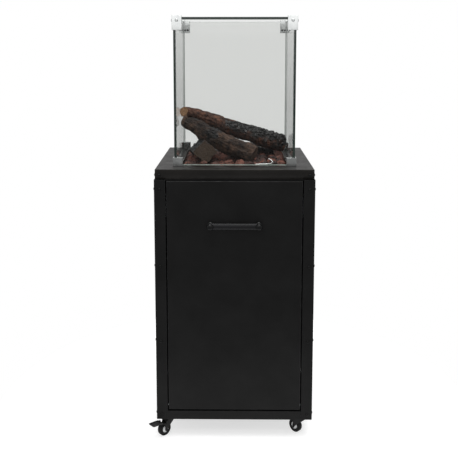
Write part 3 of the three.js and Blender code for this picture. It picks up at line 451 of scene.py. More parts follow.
def bridge(bm, loops, material=0):
    """Joins closed loops of vertices with smooth faces, leaving out corners that coincide."""
    for near, far in zip(loops, loops[1:]):
        for k in range(len(near)):
            m = (k + 1) % len(near)
            corners = list(dict.fromkeys((near[k], near[m], far[m], far[k])))
            if len(corners) > 2:
                face = bm.faces.new(corners)
                face.smooth = True
                face.material_index = material


def cuboid(bm, spot, material=0):
    """A box whose corners are where spot takes the corners of a unit cube."""
    corners = bmesh.ops.create_cube(bm, size=1)["verts"]
    for vertex in corners:
        vertex.co = spot(vertex.co)
    for face in {face for vertex in corners for face in vertex.link_faces}:
        face.material_index = material


def lathe(bm, profile, sides=48, matrix=Matrix.Identity(4), material=0):
    """Adds a turned shape about Z to bm. The profile lists (radius, height), the lowest first."""
    rings = []
    for radius, height in profile:
        if radius == 0:
            rings.append([bm.verts.new(matrix @ Vector((0, 0, height)))] * sides)
            continue
        rings.append([bm.verts.new(matrix @ Vector((x, y, height))) for x, y in ring_points(radius, sides)])
    bridge(bm, rings, material)


def lathe_mm(bm, profile, sides=48, matrix=Matrix.Identity(4), material=0):
    """The same as lathe, with its profile in millimetres."""
    lathe(bm, [(radius * MM, height * MM) for radius, height in profile], sides, matrix, material)


def facing(direction, position):
    """Takes +Z to the direction given, and the origin to the position."""
    turn = Vector(direction).normalized().to_track_quat("Z", "Y").to_matrix().to_4x4()
    return Matrix.Translation(position) @ turn


def screw_head(bm, position, direction, radius=4.5 * MM):
    """A button-head screw with a hexagonal socket."""
    matrix = facing(direction, position)
    rise = SCREW_RISE
    profile = [(1, -0.1), (1, 0.16), (0.95, 0.42), (0.82, 0.7), (0.62, 0.9), (0.5, 0.97), (0.44, 0.99)]
    sides = 48
    lathe(bm, [(radius * r, rise * h) for r, h in profile], sides, matrix)
    socket = 0.4 * radius
    rims = []
    for height in (0.99, 0.4):
        rim = []
        for i in range(sides):
            angle = 2 * math.pi * i / sides
            sector = (angle + math.pi / 6) % (math.pi / 3) - math.pi / 6
            reach = socket * math.cos(math.pi / 6) / math.cos(sector)
            spot = Vector((reach * math.cos(angle), reach * math.sin(angle), height * rise))
            rim.append(bm.verts.new(matrix @ spot))
        rims.append(rim)
    top = [bm.verts.new(matrix @ Vector((x, y, 0.99 * rise))) for x, y in ring_points(radius * 0.44, sides)]
    floor = bm.verts.new(matrix @ Vector((0, 0, 0.34 * rise)))
    for i in range(sides):
        j = (i + 1) % sides
        bm.faces.new((top[i], top[j], rims[0][j], rims[0][i]))
        bm.faces.new((rims[0][i], rims[0][j], rims[1][j], rims[1][i]))
        bm.faces.new((rims[1][i], rims[1][j], floor))


def screws(name, body, slot, material, places, radius=4.5 * MM):
    bm = bmesh.new()
    for position, direction in places:
        screw_head(bm, position, direction, radius)
    bmesh.ops.remove_doubles(bm, verts=bm.verts, dist=0.005 * MM)
    return place(new_object(name, bm, [material]), body, slot)


def tube(name, route, radius, material):
    """A smooth round tube along a route of points."""
    curve = bpy.data.curves.new(name, "CURVE")
    curve.dimensions = "3D"
    curve.bevel_depth = radius
    curve.bevel_resolution = 6
    curve.resolution_u = 10
    curve.use_fill_caps = True
    spline = curve.splines.new("NURBS")
    spline.points.add(len(route) - 1)
    for point, spot in zip(spline.points, route):
        point.co = (*spot, 1)
    spline.order_u = 4
    spline.use_endpoint_u = True
    curve.materials.append(material)
    return add_object(name, curve)


def middle(node):
    low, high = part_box(node)
    return (low + high) / 2


# ---- cabinet

BODY_HALF = -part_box("side_panel_left")[0].x + 2.3 * MM
POST_LOW, POST_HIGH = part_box("post_front_left")
LID_LOW, LID_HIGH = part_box("lid")
LID_HALF = LID_HIGH.x - SCREW_RISE
PAN_HALF = 155.5 * MM


def lid():
    """The lid sheet: top with the fire opening, and a folded rim with a small bend radius."""
    sheet_mm, fold_mm, lip_depth = 1.5, 1.6, 3 * MM
    half, inner = LID_HALF, PAN_HALF + sheet_mm * MM
    top, bottom, lip = LID_HIGH.z, LID_LOW.z, LID_HIGH.z - lip_depth
    bm = bmesh.new()
    loops = []
    for reach, height in ((half, bottom), (half, top), (inner, top), (inner, lip)):
        loops.append([bm.verts.new((x * reach, y * reach, height)) for x, y in CORNERS.values()])
    bridge(bm, loops)
    made = new_object("lid_sheet", bm, [LID_PAINT, LID_EDGE])
    smooth(made)
    rounded_edges(made, fold_mm, 4, material=1)
    thicken(made, sheet_mm)
    place(made, "cabinet", "lid_coat", "lid")


def cabinet_screws():
    """Four button heads on each face of a post, and one on each face of the lid's corners."""
    inset, rows = 15 * MM, 4
    lowest = POST_LOW.z + inset
    highest = LID_HIGH.z - 57 * MM
    lid_screw_drop = 17 * MM
    post_places, lid_places = [], []
    for x, y in CORNERS.values():
        across, along = x * (BODY_HALF - inset), y * (BODY_HALF - inset)
        for i in range(rows):
            z = lowest + i * (highest - lowest) / (rows - 1)
            post_places.append(((across, y * BODY_HALF, z), (0, y, 0)))
            post_places.append(((x * BODY_HALF, along, z), (x, 0, 0)))
        z = LID_HIGH.z - lid_screw_drop
        lid_places.append(((across, y * LID_HALF, z), (0, y, 0)))
        lid_places.append(((x * LID_HALF, along, z), (x, 0, 0)))
    screws("post_screws", "cabinet", "powder_coat", CASTER_BLACK, post_places)
    screws("lid_screws", "cabinet", "lid_coat", CASTER_BLACK, lid_places)


def top_frame():
    """The frame under the lid. Its outer wall runs down inside the panels, so no light shows over them."""
    low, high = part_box("top_frame")
    made = softened("top_frame", "cabinet", "powder_coat", [PAINT, PAINT_EDGE], 0.4)
    overlap = 3 * MM
    for vertex in made.data.vertices:
        at_wall = max(abs(vertex.co.x), abs(vertex.co.y)) > high.x - 0.5 * MM
        if at_wall and vertex.co.z < low.z + 0.5 * MM:
            vertex.co.z -= overlap


def cabinet():
    painted = [PAINT, PAINT_EDGE]
    face = BODY_HALF + 0.05 * MM
    for corner in CORNERS:
        softened(f"post_{corner}", "cabinet", "powder_coat", painted, 0.4, (face, face))
    for node in ("side_panel_left", "side_panel_right", "rear_panel", "bottom_rail"):
        softened(node, "cabinet", "powder_coat", painted, 0.3)
    softened("base_plate", "cabinet", "powder_coat", painted, 0.4)
    top_frame()
    lid()
    cabinet_screws()
    for node in ("heat_shield", "control_panel", "hinge_bracket_left", "hinge_bracket_right"):
        softened(node, "cabinet", "galvanised", [ZINC], 0.3)
    softened("burner_pan", "cabinet", "stainless", [SOOTED], 0.3)
    softened("door_magnet", "cabinet", "black_plastic", [PLASTIC], 0.8)
    softened("gas_valve", "cabinet", "cast_alloy", [ALLOY], 1.2)
    softened("gas_inlet", "cabinet", "brass", [BRASS], 0.4)
    softened("igniter_module", "cabinet", "black_plastic", [PLASTIC], 1.0)


# ---- door

def door():
    """A pan-shaped sheet: the face with four folded edges, left open at the back."""
    low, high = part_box("door_panel")
    sheet_mm, fold_mm = 1.2, 1.5
    bm = bmesh.new()
    front = [bm.verts.new((x, low.y, z)) for x, z in (
        (low.x, low.z), (high.x, low.z), (high.x, high.z), (low.x, high.z))]
    back = [bm.verts.new((v.co.x, high.y, v.co.z)) for v in front]
    bm.faces.new(front)
    for i in range(4):
        j = (i + 1) % 4
        bm.faces.new((front[j], front[i], back[i], back[j]))
    made = new_object("door_sheet", bm, [PAINT, PAINT_EDGE])
    smooth(made)
    rounded_edges(made, fold_mm, 4, material=1)
    thicken(made, sheet_mm)
    place(made, "door", "powder_coat", "door_panel")


def handle():
    """A flat-oval bar between two turned feet."""
    low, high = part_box("door_handle")
    foot_radius = 9.5 * MM
    z = (low.z + high.z) / 2
    left, right = low.x + foot_radius, high.x - foot_radius
    tip, face = low.y, high.y
    length_mm = 27.5
    profile = [
        (9.5, 0), (9.5, 1.6), (8.9, 2.2), (6.9, 3.2), (6.6, 5.5), (6.7, 9.5), (7.4, 12.2), (8.7, 14.6),
        (9.35, 16.8), (9.5, 19), (9.45, 21.2), (9.1, 23.2), (8.2, 25), (6.8, 26.3), (5, 27.1), (2.6, 27.45),
        (0, length_mm),
    ]
    stretch = (face - tip) / (length_mm * MM)
    bm = bmesh.new()
    for x in (left, right):
        matrix = facing(-Y_AXIS, (x, face, z))
        lathe_mm(bm, [(r, h * stretch) for r, h in profile], 64, matrix)
    sides, steps = 48, 40
    half_depth, half_height = 4.5 * MM, 9 * MM
    axis_y = tip + 12 * MM
    slimmer = 0.035
    loops = []
    for i in range(steps + 1):
        t = i / steps
        waist = 1 - slimmer * math.sin(math.pi * t)
        x = left + (right - left) * t
        loops.append([
            bm.verts.new((
                x,
                axis_y + half_depth * math.cos(2 * math.pi * k / sides) * waist,
                z + half_height * math.sin(2 * math.pi * k / sides) * waist,
            ))
            for k in range(sides)
        ])
    bridge(bm, loops, 1)
    bmesh.ops.recalc_face_normals(bm, faces=bm.faces)
    place(new_object("handle", bm, [GLOSS_BLACK, BAR_BLACK]), "door", "gloss_black", "door_handle")


# ---- controls and gas train

def knob():
    """A round knob with a grip ridge, finger flutes round its skirt and a pale pointer line."""
    low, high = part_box("control_knob")
    centre = middle("control_knob")
    radius = (high.x - low.x) / 2
    depth = high.y - low.y
    sides, flutes, flute_depth = 120, 24, 0.035
    profile = [
        (0.98, 0), (1.0, 0.1), (0.99, 0.2), (0.96, 0.6), (0.93, 0.72), (0.86, 0.8), (0.6, 0.83), (0.0, 0.83),
    ]
    bm = bmesh.new()
    matrix = facing(-Y_AXIS, (centre.x, high.y, centre.z))
    rings = []
    for r, h in profile:
        rings.append([])
        for i in range(sides):
            angle = 2 * math.pi * i / sides
            on_skirt = 0.15 < h < 0.75
            flute = flute_depth * (0.5 + 0.5 * math.cos(flutes * angle)) if on_skirt else 0
            reach = r * radius * (1 - flute)
            spot = Vector((reach * math.cos(angle), reach * math.sin(angle), h * depth))
            rings[-1].append(bm.verts.new(matrix @ spot))
    bridge(bm, rings)
    bmesh.ops.remove_doubles(bm, verts=bm.verts, dist=0.01 * MM)
    grip_width, line_width, line_depth, line_rise = 6.5 * MM, 1.2 * MM, 0.5 * MM, 0.05 * MM
    cuboid(bm, lambda unit: Vector((
        centre.x + unit.x * grip_width,
        low.y + (0.5 + unit.y) * depth * 0.35,
        centre.z + unit.z * radius * 1.7,
    )))
    cuboid(bm, lambda unit: Vector((
        centre.x + unit.x * line_width,
        low.y + (unit.y + 0.5) * line_depth - line_rise,
        centre.z + radius * 0.55 + unit.z * radius * 0.5,
    )), 1)
    made = new_object("knob_moulding", bm, [PLASTIC, HUB_GREY])
    rounded_edges(made, 0.6, 2, 50)
    place(made, "knob", "black_plastic", "control_knob")


def turned_parts():
    """Small turned pieces of the controls."""
    low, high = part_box("valve_stem")
    centre = middle("valve_stem")
    length = (high.y - low.y) / MM
    bm = bmesh.new()
    profile = [(0, 0), (3.5, 0), (4, 0.5), (4, length - 0.5), (3.5, length), (0, length)]
    lathe_mm(bm, profile, 40, facing(-Y_AXIS, (centre.x, high.y, centre.z)))
    place(new_object("valve_stem_turned", bm, [BRASS]), "stem", "brass", "valve_stem")

    low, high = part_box("igniter_button")
    centre = middle("igniter_button")
    length = (high.y - low.y) / MM
    cap = 8
    neck = length - cap
    bm = bmesh.new()
    profile = [
        (0, 0), (3.6, 0), (4, 0.4), (4, neck), (7.6, neck), (8, neck + 0.4), (8, length - 1.6),
        (7.7, length - 0.7), (7, length - 0.2), (5.5, length - 0.3), (0, length - 1.1),
    ]
    lathe_mm(bm, profile, 56, facing(-Y_AXIS, (centre.x, high.y, centre.z)))
    place(new_object("igniter_button_moulding", bm, [PLASTIC]), "button", "black_plastic", "igniter_button")


def pipe_and_probe():
    """The gas pipe under the pan, the thermocouple's curl and the ignition pin."""
    low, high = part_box("gas_pipe")
    valve = middle("valve_stem")
    valve_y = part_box("gas_valve")[0].y + 20 * MM
    run = low.z + 7 * MM
    x, y = valve.x, valve_y
    tube_route = [(x, y, low.z), (x, y, low.z + 3 * MM), (x * 0.97, y * 0.97, run), (x * 0.5, y * 0.5, run)]
    tube_route += [(x * 0.08, y * 0.08, run), (0, 0, run + 5 * MM), (0, 0, high.z)]
    place(tube("gas_pipe_bent", tube_route, 4 * MM, STAINLESS), "cabinet", "stainless", "gas_pipe")

    lid_top = LID_HIGH.z
    x, y = 52 * MM, -PAN_HALF + 13.5 * MM
    offsets = [
        (0, 0, -58), (0, 0, -25), (0, 0, -8), (4, -0.5, 1), (14, -1.5, 2), (30, -2, 2.5), (47, -1, 3),
        (59, 4, 4.5), (58, 13, 8), (52, 17, 13), (46, 17, 15),
    ]
    route = [(x + a * MM, y + b * MM, lid_top + c * MM) for a, b, c in offsets]
    place(tube("thermocouple_tube", route, 1.5 * MM, STEEL), "cabinet", "polished_steel", "thermocouple")

    low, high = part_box("ignition_electrode")
    centre = middle("ignition_electrode")
    shoulder = (lid_top - low.z) / MM - 20
    length = (high.z - low.z) / MM
    bm = bmesh.new()
    matrix = Matrix.Translation((centre.x, centre.y, low.z))
    insulator = [(0, 0), (3.2, 0), (3.5, 0.4), (3.5, shoulder - 1), (2.6, shoulder), (1, shoulder)]
    lathe_mm(bm, insulator, 40, matrix)
    lathe_mm(bm, [(1, shoulder), (1, length - 0.6), (0.5, length), (0, length)], 24, matrix, 1)
    pin = new_object("ignition_pin", bm, [PORCELAIN, STAINLESS])
    place(pin, "cabinet", "porcelain", "ignition_electrode")


def burner():
    """The ring burner with its cross tube and inlet."""
    low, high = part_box("burner")
    tube_radius, ring_radius = 10 * MM, 90 * MM
    z = high.z - tube_radius
    bm = bmesh.new()
    sides, steps = 20, 96
    rings = []
    for i in range(steps):
        turn = 2 * math.pi * i / steps
        out = Vector((math.cos(turn), math.sin(turn), 0))
        rings.append([
            bm.verts.new(out * (ring_radius + r) + Vector((0, 0, z + h)))
            for r, h in ring_points(tube_radius, sides)
        ])
    bridge(bm, rings + rings[:1])
    ends = [(0, 0), (8 * MM, 0), (8 * MM, 2 * ring_radius), (0, 2 * ring_radius)]
    lathe(bm, ends, 24, facing(X_AXIS, (-ring_radius, 0, z)))
    rise = z - low.z
    lathe(bm, [(0, 0), (7 * MM, 0), (7 * MM, rise), (0, rise)], 32, Matrix.Translation((0, 0, low.z)))
    place(new_object("burner_tube", bm, [STAINLESS]), "cabinet", "stainless", "burner")


# ---- rocks and logs

def crumpled(point, size, seed):
    """How far out of round a rock is at a point of its unit sphere."""
    spot = point * 1.3 + Vector((seed, seed * 0.7, -seed))
    lumps = noise.fractal(spot, 0.9, 2.1, 4)
    facets = noise.cell(point * 2.2 + Vector((seed, 0, 0)))
    return size * (1 + 0.34 * lumps + 0.08 * facets)


def rock(bm, centre, size, level, tone):
    seed = RANDOM.uniform(0, 60)
    shade = RANDOM.random()
    squash = Vector((RANDOM.uniform(0.85, 1.15), RANDOM.uniform(0.85, 1.15), RANDOM.uniform(0.65, 0.95)))
    turn = Matrix.Rotation(RANDOM.uniform(0, math.tau), 3, Vector((RANDOM.random(), RANDOM.random(), 1)))
    ball = bmesh.ops.create_icosphere(bm, subdivisions=level, radius=1)["verts"]
    for vertex in ball:
        point = vertex.co.copy()
        out = crumpled(point, size, seed)
        vertex.co = centre + turn @ Vector(a * b for a, b in zip(point * out, squash))
        vertex[tone] = shade


def lava_bed():
    """Two layers of loose rocks in the pan, the upper level with the lid."""
    bm = bmesh.new()
    tone = bm.verts.layers.float.new("tone")
    top = LID_HIGH.z
    pitch = 25 * MM
    count = 12
    for drop, level in ((30 * MM, 2), (11 * MM, 4)):
        for i in range(count):
            for j in range(count):
                x = (i - (count - 1) / 2 + RANDOM.uniform(-0.22, 0.22)) * pitch
                y = (j - (count - 1) / 2 + RANDOM.uniform(-0.22, 0.22)) * pitch
                z = top - drop + RANDOM.uniform(-4, 4) * MM
                size = RANDOM.uniform(12.5, 17) * MM
                # Rocks lie lower where the thermocouple curls over them at the front.
                by_probe = 36 * MM < x < 128 * MM and y < -118 * MM
                room = PAN_HALF - 3 * MM - size
                centre = Vector((max(-room, min(room, x)), max(-room, min(room, y)), z))
                if by_probe:
                    centre.z -= 14 * MM
                    size *= 0.85
                rock(bm, centre, size, level, tone)
    for face in bm.faces:
        face.smooth = True
    place(new_object("lava_rocks", bm, [LAVA]), "cabinet", "lava_rock", "lava_bed")


def along_route(stations, t):
    """A point of a smooth route through (x, y, z, radius) stations, t running from 0 to 1."""
    last = len(stations) - 1
    place_on = min(max(t, 0), 1) * last
    i = min(int(place_on), last - 1)
    u = place_on - i
    before, first = stations[max(i - 1, 0)], stations[i]
    second, after = stations[i + 1], stations[min(i + 2, last)]
    return [
        0.5 * (2 * b + (c - a) * u + (2 * a - 5 * b + 4 * c - d) * u ** 2 + (3 * b - a - 3 * c + d) * u ** 3)
        for a, b, c, d in zip(before, first, second, after)
    ]


def log(node, material, stations, char, start_cut=None, end_cut=None, square=False, seed=0.0):
    """A log along stations: uneven section, bark ridges, a charred stretch, and cut or rounded ends.

    Stations are (x, y, height above the lid, radius) in millimetres. char gives (from, to) along the log.
    A cut is the outward normal of a sawn face; without one the end is rounded off."""
    around, along, cap = 144, 190, 10
    end_zone, round_zone = 0.12, 0.07
    bm = bmesh.new()
    char_layer = bm.verts.layers.float.new("char")
    cut_layer = bm.verts.layers.float.new("cut")
    ring_layer = bm.verts.layers.float.new("ring")

    def core(t):
        x, y, z, radius = along_route(stations, t)
        return Vector((x, y, z)) * MM + Z_AXIS * LID_HIGH.z, radius * MM

    def skin(angle, t, base):
        lobes = 1 + 0.07 * math.sin(2 * angle + seed + 4 * t) + 0.04 * math.sin(3 * angle - 2 * seed + 7 * t)
        if square:
            quarter = angle % (math.pi / 2) - math.pi / 4
            lobes = (1 + 0.02 * math.sin(3 * angle + 5 * t)) * 0.83 / max(math.cos(quarter), 0.7)
        length = (core(1)[0] - core(0)[0]).length
        spot = Vector((math.cos(angle), math.sin(angle), 0)) * base + Vector((0, 0, t * length))
        stretched = Vector((spot.x * 150, spot.y * 150, spot.z * 20 + seed * 5))
        bark = (1 - abs(noise.noise(stretched))) ** 2 - 0.5
        lump = noise.fractal(spot * 48 + Vector((seed, 3, 1)), 0.8, 2.0, 3)
        wobble = noise.noise(Vector((math.cos(angle), t * 5, seed + 9)))
        after_start = max(0, min(1, (t - char[0]) * 5 + wobble * 2))
        before_end = max(0, min(1, (char[1] - t) * 5 + wobble * 2))
        burnt = after_start * before_end
        burnt *= 0.62 + 0.38 * math.sin(angle)
        cracks = noise.voronoi(spot * 84 + Vector((seed, 0, 0)), distance_metric="DISTANCE", exponent=2.5)[0]
        block = min(1, (cracks[1] - cracks[0]) * 2.4) - 0.6
        rough = 2.4 * bark * (1 - burnt) + 4.4 * block * burnt + 3.2 * lump
        rounding = 1.0
        if start_cut is None:
            rounding *= math.sqrt(max(0, 1 - (1 - min(1, (t + 0.002) / round_zone)) ** 2))
        if end_cut is None:
            rounding *= math.sqrt(max(0, 1 - (1 - min(1, (1.002 - t) / round_zone)) ** 2))
        return (base * lobes + rough * MM) * rounding, burnt

    def loop(t, fraction=1.0, cut=0.0):
        centre, base = core(t)
        tangent = (core(min(t + 0.01, 1))[0] - core(max(t - 0.01, 0))[0]).normalized()
        side = tangent.cross(Z_AXIS).normalized()
        up = side.cross(tangent)
        verts = []
        for k in range(around):
            angle = math.tau * k / around
            radius, burnt = skin(angle, t, base)
            offset = (side * math.cos(angle) + up * math.sin(angle)) * radius * fraction
            position = centre + offset
            for normal, nearness in ((start_cut, 1 - t / end_zone), (end_cut, 1 - (1 - t) / end_zone)):
                if normal is not None and nearness > 0:
                    normal = Vector(normal).normalized()
                    position -= tangent * normal.dot(offset) / normal.dot(tangent) * nearness
            if fraction < 1:
                position += tangent * 0.5 * MM * noise.noise(position * 300)
            vertex = bm.verts.new(position)
            vertex[char_layer] = burnt
            vertex[cut_layer] = cut
            vertex[ring_layer] = radius * fraction
            verts.append(vertex)
        return verts

    def cap_loops(t, normal):
        sawn = 1.0 if normal is not None else 0.0
        return [loop(t, 1 - 0.97 * (i + 0.25) / cap, sawn) for i in range(cap)]

    loops = cap_loops(0, start_cut)[::-1]
    loops += [loop(i / along) for i in range(along + 1)]
    loops += cap_loops(1, end_cut)
    bridge(bm, loops)
    bm.faces.new(loops[0])
    bm.faces.new(loops[-1])
    bmesh.ops.recalc_face_normals(bm, faces=bm.faces)
    slot = "bark_log" if material is BARK else "charred_log"
    place(new_object(f"{node}_carved", bm, [material]), "cabinet", slot, node)


def logs():
    upper = [
        (-154, -26, 144, 15), (-126, -5, 134, 20), (-63, 10, 108, 26), (-26, 20, 92, 26),
        (41, 35, 72, 26), (95, 45, 54, 27), (138, 52, 42, 26), (160, 56, 37, 22),
    ]
    crossing = [
        (-161, -27, 117, 17), (-125, -30, 104, 21), (-81, -38, 78, 25), (-38, -45, 55, 26), (5, -52, 34, 27),
        (58, -60, 15, 28),
    ]
    short = [(-86, -106, 31, 30), (-97, -45, 27, 29), (-112, 20, 22, 27)]
    rear = [(12, 112, 8, 19), (70, 103, 7, 21), (130, 94, 5, 20)]
    log("log_upper", CHARRED_TAN, upper, (0.36, 1.3), start_cut=(-0.8, -1, 0.1), seed=0.4)
    log("log_middle", CHARRED, crossing, (0.18, 0.66), end_cut=(0.87, -0.3, -0.4), seed=1.9)
    log("log_short", BARK, short, (0.12, 1.2),
        start_cut=(0.1, -1, 0.12), end_cut=(0, 1, 0), square=True, seed=0.2)
    log("log_rear", CHARRED, rear, (-0.2, 1.2), start_cut=(-1, 0, 0.2), end_cut=(1, -0.3, 0.2), seed=3.1)


# ---- wind guard

GUARD_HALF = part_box("glass_right")[1].x


def pane(node, band_mm=0, foot_mm=0):
    """A pane with slightly rounded arrises, green at its cut edges; band_mm is a band of painted dark
    reflection seen along the top of the front face, and foot_mm a painted highlight strip along its foot."""
    low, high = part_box(node)
    thin = 0 if high.x - low.x < high.y - low.y else 1
    rear_zone = GUARD_HALF - 7 * MM
    bm = bmesh.new()
    cuboid(bm, lambda unit: Vector(l + (c + 0.5) * (h - l) for l, h, c in zip(low, high, unit)))
    for height in (high.z - band_mm * MM, low.z + foot_mm * MM):
        if low.z < height < high.z:
            everything = bm.verts[:] + bm.edges[:] + bm.faces[:]
            bmesh.ops.bisect_plane(bm, geom=everything, plane_co=(0, 0, height), plane_no=(0, 0, 1))
    for face in bm.faces:
        # Edge faces: top edges of the panes without a band and all edges at the rear take the pale copy, a
        # painted highlight; the others the dark green, painted shade.
        if abs(face.normal[thin]) < 0.5:
            upper = face.normal.z > 0.5 and not band_mm
            rear = face.calc_center_median().y > rear_zone
            face.material_index = 2 if upper or rear else 1
        # A band across the top of the front pane's faces: painted dark reflection.
        elif face.calc_center_median().z > high.z - band_mm * MM:
            face.material_index = 1
        # A strip across the foot of the front pane's faces: painted highlight.
        elif face.calc_center_median().z < low.z + foot_mm * MM:
            face.material_index = 2
    made = new_object(f"{node}_pane", bm, [GLASS_FACE, GLASS_EDGE, GLASS_EDGE_HIGHLIGHT])
    # The rear pane's rounded arrises take the pale copy, a painted highlight.
    rounded_edges(made, 0.5, 2, material=2 if node == "glass_rear" else 1)
    place(made, "wind_guard", "glass", node)


def guard():
    """Four panes in corner clips, which have a screw on each outer face and a set screw on each inner one."""
    for node in ("glass_left", "glass_right", "glass_rear"):
        pane(node)
    pane("glass_front", band_mm=7, foot_mm=2.4)
    outer_face, inner_face = GUARD_HALF + 3.8 * MM, GUARD_HALF - 8.8 * MM
    outer_row, inner_row = GUARD_HALF - 10 * MM, GUARD_HALF - 18 * MM
    outer_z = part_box("clip_top_front_left")[1].z - 14 * MM
    inner_z = outer_z - 18 * MM
    trim = outer_face + 0.05 * MM
    outer, inner = [], []
    for corner, (x, y) in CORNERS.items():
        for level, metal in (("top", STEEL), ("bottom", DULL_STEEL)):
            softened(f"clip_{level}_{corner}", "wind_guard", "polished_steel", [metal], 0.6, (trim, trim))
        outer.append(((x * outer_row, y * outer_face, outer_z), (0, y, 0)))
        outer.append(((x * outer_face, y * outer_row, outer_z), (x, 0, 0)))
        inner.append(((x * inner_row, y * inner_face, inner_z), (0, -y, 0)))
        inner.append(((x * inner_face, y * inner_row, inner_z), (-x, 0, 0)))
    screws("clip_screws", "wind_guard", "polished_steel", STEEL, outer)
    screws("clip_set_screws", "wind_guard", "polished_steel", CASTER_BLACK, inner, 3.2 * MM)


# ---- casters

def wheel(corner):
    """A black tyre on a pale moulded hub with ribs and a recessed axle boss."""
    node = f"caster_{corner}_wheel"
    centre, _, axle = caster_axes(corner)
    matrix = facing(axle, centre)
    bm = bmesh.new()
    wall = [
        (10, 5.6), (10.9, 6.3), (14, 6.75), (15.2, 6.5), (16.4, 6.8), (18.2, 6.95), (19.2, 6.4), (19.8, 5.4),
        (20, 4),
    ]
    tyre = [(r, -h) for r, h in wall] + wall[::-1] + [(10, -5.6)]
    lathe_mm(bm, tyre, 96, matrix)
    face = [(3.4, 7.4), (5, 7.4), (5.5, 6.9), (5.7, 4.4), (7.9, 4.2), (8.3, 5.8), (8.7, 6.2), (10, 6.2)]
    hub = [(r, -h) for r, h in face] + face[::-1] + [(3.4, -7.4)]
    lathe_mm(bm, hub, 72, matrix, 1)
    ribs = 6
    rib_middle, rib_length, rib_thickness, rib_width = 6.8 * MM, 3.2 * MM, 1.4 * MM, 11.4 * MM
    for i in range(ribs):
        turn = matrix @ Matrix.Rotation(math.tau * i / ribs, 4, "Z")
        cuboid(bm, lambda unit: turn @ Vector((
            rib_middle + unit.x * rib_length,
            unit.y * rib_thickness,
            unit.z * rib_width,
        )), 1)
    bmesh.ops.recalc_face_normals(bm, faces=bm.faces)
    made = new_object(f"wheel_{corner}_tyre_and_hub", bm, [RUBBER, HUB_GREY])
    rounded_edges(made, 0.3, 2, 50)
    place(made, f"wheel_{corner}", "wheel_rubber", node)


def caster_axes(corner):
    """The wheel's centre, the direction it trails in, and its axle direction."""
    centre = middle(f"caster_{corner}_wheel")
    pivot = middle(f"caster_{corner}_plate")
    trail = Vector((centre.x - pivot.x, centre.y - pivot.y, 0)).normalized()
    return centre, trail, trail.cross(Z_AXIS)


def fork(corner):
    """The fork, its legs drawn in towards the axle so that the hub shows round them."""
    centre, trail, axle = caster_axes(corner)
    made = softened(f"caster_{corner}_fork", f"caster_{corner}", "caster_black", [CASTER_BLACK], 0.5)
    taper, taper_height = 0.42, 16 * MM
    leg_offset, axle_radius = 7.2 * MM, 4 * MM
    for vertex in made.data.vertices:
        offset = vertex.co - centre
        across = offset.dot(axle)
        off_axle = (offset - axle * across).length > axle_radius
        if abs(across) > leg_offset and off_axle:
            nearness = 1 - min(max(offset.z, 0) / taper_height, 1)
            vertex.co -= trail * offset.dot(trail) * taper * nearness


def brake(corner):
    """A stamped pedal: a ribbed, upturned tread on two cranked arms that rise beside the fork's legs."""
    node = f"caster_{corner}_brake"
    centre, trail, axle = caster_axes(corner)
    source = [vertex.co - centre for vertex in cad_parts[node].data.vertices]
    reach = max(spot.dot(trail) for spot in source)
    half_width = max(spot.dot(axle) for spot in source)
    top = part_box(node)[1].z - centre.z
    root, sheet, side_curl = 13 * MM, 2 * MM, 1.6 * MM
    bm = bmesh.new()

    def put_at(along, across, height):
        return bm.verts.new(centre + trail * along + axle * across + Z_AXIS * height)

    rows, columns = 24, 20
    layers = []
    for drop in (0, sheet):
        layer = []
        for i in range(rows + 1):
            s = i / rows
            narrowing = 1 - 0.04 * s ** 3
            for k in range(columns + 1):
                t = 2 * k / columns - 1
                rib = 0.45 * MM * max(0, math.cos(5 * math.pi * s)) * (1 - t ** 4)
                crown = side_curl * abs(t) ** 5 - 2.6 * MM * (1 - s) ** 2 + 0.8 * MM * s ** 4
                along = root + (reach - root) * s
                layer.append(put_at(along, half_width * narrowing * t, top - side_curl + crown + rib - drop))
        layers.append(layer)
    upper, lower = layers
    stride = columns + 1
    for i in range(rows):
        for k in range(columns):
            a = i * stride + k
            b, c, d = a + 1, a + stride + 1, a + stride
            bm.faces.new((upper[a], upper[b], upper[c], upper[d]))
            bm.faces.new((lower[d], lower[c], lower[b], lower[a]))
    border = list(range(columns))
    border += [columns + i * stride for i in range(rows)]
    border += [rows * stride + columns - k for k in range(columns)]
    border += [(rows - i) * stride for i in range(rows)]
    for a, b in zip(border, border[1:] + border[:1]):
        bm.faces.new((upper[b], upper[a], lower[a], lower[b]))

    tread = top / MM
    outline = [
        (-3.6, -1.6), (-1.8, -3.6), (1.8, -3.6), (3.6, -1.6), (5.5, 7), (9, tread - 9), (15, tread - 6.4),
        (24, tread - 4.2), (24, tread - 2.4), (14, tread - 3.4), (5, tread - 5), (0.5, 10), (-3.6, 1.6),
    ]
    for side in (-1, 1):
        near = [put_at(u * MM, side * (half_width - sheet), z * MM) for u, z in outline]
        far = [put_at(u * MM, side * half_width, z * MM) for u, z in outline]
        bm.faces.new(near)
        bm.faces.new(far)
        bridge(bm, [near, far])
    bmesh.ops.recalc_face_normals(bm, faces=bm.faces)
    made = new_object(f"brake_{corner}_pedal", bm, [CASTER_BLACK])
    smooth(made)
    rounded_edges(made, 0.4, 2, 40)
    place(made, f"brake_{corner}", "black_plastic", node)


def casters():
    for corner in CORNERS:
        wheel(corner)
        softened(f"caster_{corner}_plate", "cabinet", "gloss_black", [CASTER_BLACK], 0.4)
        fork(corner)
    for corner in ("front_left", "rear_right"):
        brake(corner)


# ---- camera, light, floor

def camera():
    """Stands in front, a little above the lid, tilted slightly down."""
    tilt_down, turn_left = 7.24, 0.62
    data = bpy.data.cameras.new("camera")
    data.lens = 54.8
    data.sensor_width = 36
    data.shift_y = -0.196
    made = add_object("camera", data)
    made.location = (0.0053, -2.1304, 1.1171)
    made.rotation_euler = (math.radians(90 - tilt_down), 0, math.radians(turn_left))
    bpy.context.scene.camera = made


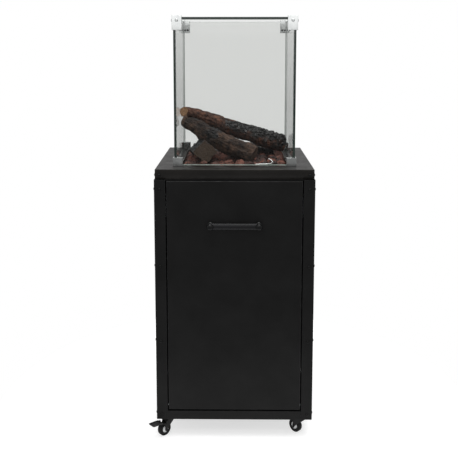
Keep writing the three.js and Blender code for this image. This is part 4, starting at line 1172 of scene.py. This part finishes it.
def area_light(name, position, target, size, power):
    data = bpy.data.lights.new(name, "AREA")
    data.shape = "RECTANGLE"
    data.size, data.size_y = size
    data.energy = power
    made = add_object(name, data)
    made.location = position
    made.rotation_euler = (Vector(target) - Vector(position)).to_track_quat("-Z", "Y").to_euler()


def studio():
    """A white backdrop to look at, and a sky that is bright above the horizon and dim below it."""
    world = bpy.data.worlds.new("studio")
    world.use_nodes = True
    bpy.context.scene.world = world
    bpy.context.scene.view_settings.view_transform = "Standard"
    tree = world.node_tree
    tree.nodes.clear()
    output = add_node(tree, "OutputWorld")
    backdrop = add_node(tree, "Background", Color=(1, 1, 1, 1), Strength=1.0)
    direction = add_node(tree, "TexCoord")
    height = add_node(tree, "SeparateXYZ", Vector=direction.outputs["Generated"]).outputs["Z"]
    strength = add_node(tree, "MapRange", Value=height, From_Min=-0.08, From_Max=0.02, To_Min=0.6, To_Max=0.9)
    sky = add_node(tree, "Background", Strength=strength.outputs["Result"])
    seen = add_node(tree, "LightPath")
    mixed = add_node(tree, "MixShader", Fac=seen.outputs["Is Camera Ray"])
    put(mixed.inputs[1], sky.outputs["Background"])
    put(mixed.inputs[2], backdrop.outputs["Background"])
    put(output.inputs["Surface"], mixed.outputs["Shader"])

    area_light("softbox_above", (0.2, -0.2, 3.2), (0, 0, 0.4), (2.6, 2.6), 75)
    area_light("softbox_front", (0, -2.6, 1.62), (0, 0, 1.1), (1.5, 0.8), 4)
    area_light("key", (-0.9, -2.2, 2.5), (0, 0, 0.6), (0.25, 0.25), 9)

    bm = bmesh.new()
    bmesh.ops.create_circle(bm, cap_ends=True, segments=128, radius=0.75)
    g = Graph("floor")
    g.set(Base_Color=g.ramp(g.noise(3, 3), (0.3, (0.5, 0.5, 0.5, 1)), (0.7, (0.54, 0.54, 0.54, 1))))
    g.set(Roughness=g.remap(g.noise(20, 3), 0.3, 0.7, 0.6, 0.75))
    g.set(Emission_Color=(1, 1, 1, 1), Emission_Strength=0.62)
    new_object("floor", bm, [g.material])


camera()
studio()
cabinet()
door()
handle()
knob()
turned_parts()
pipe_and_probe()
burner()
lava_bed()
logs()
guard()
casters()
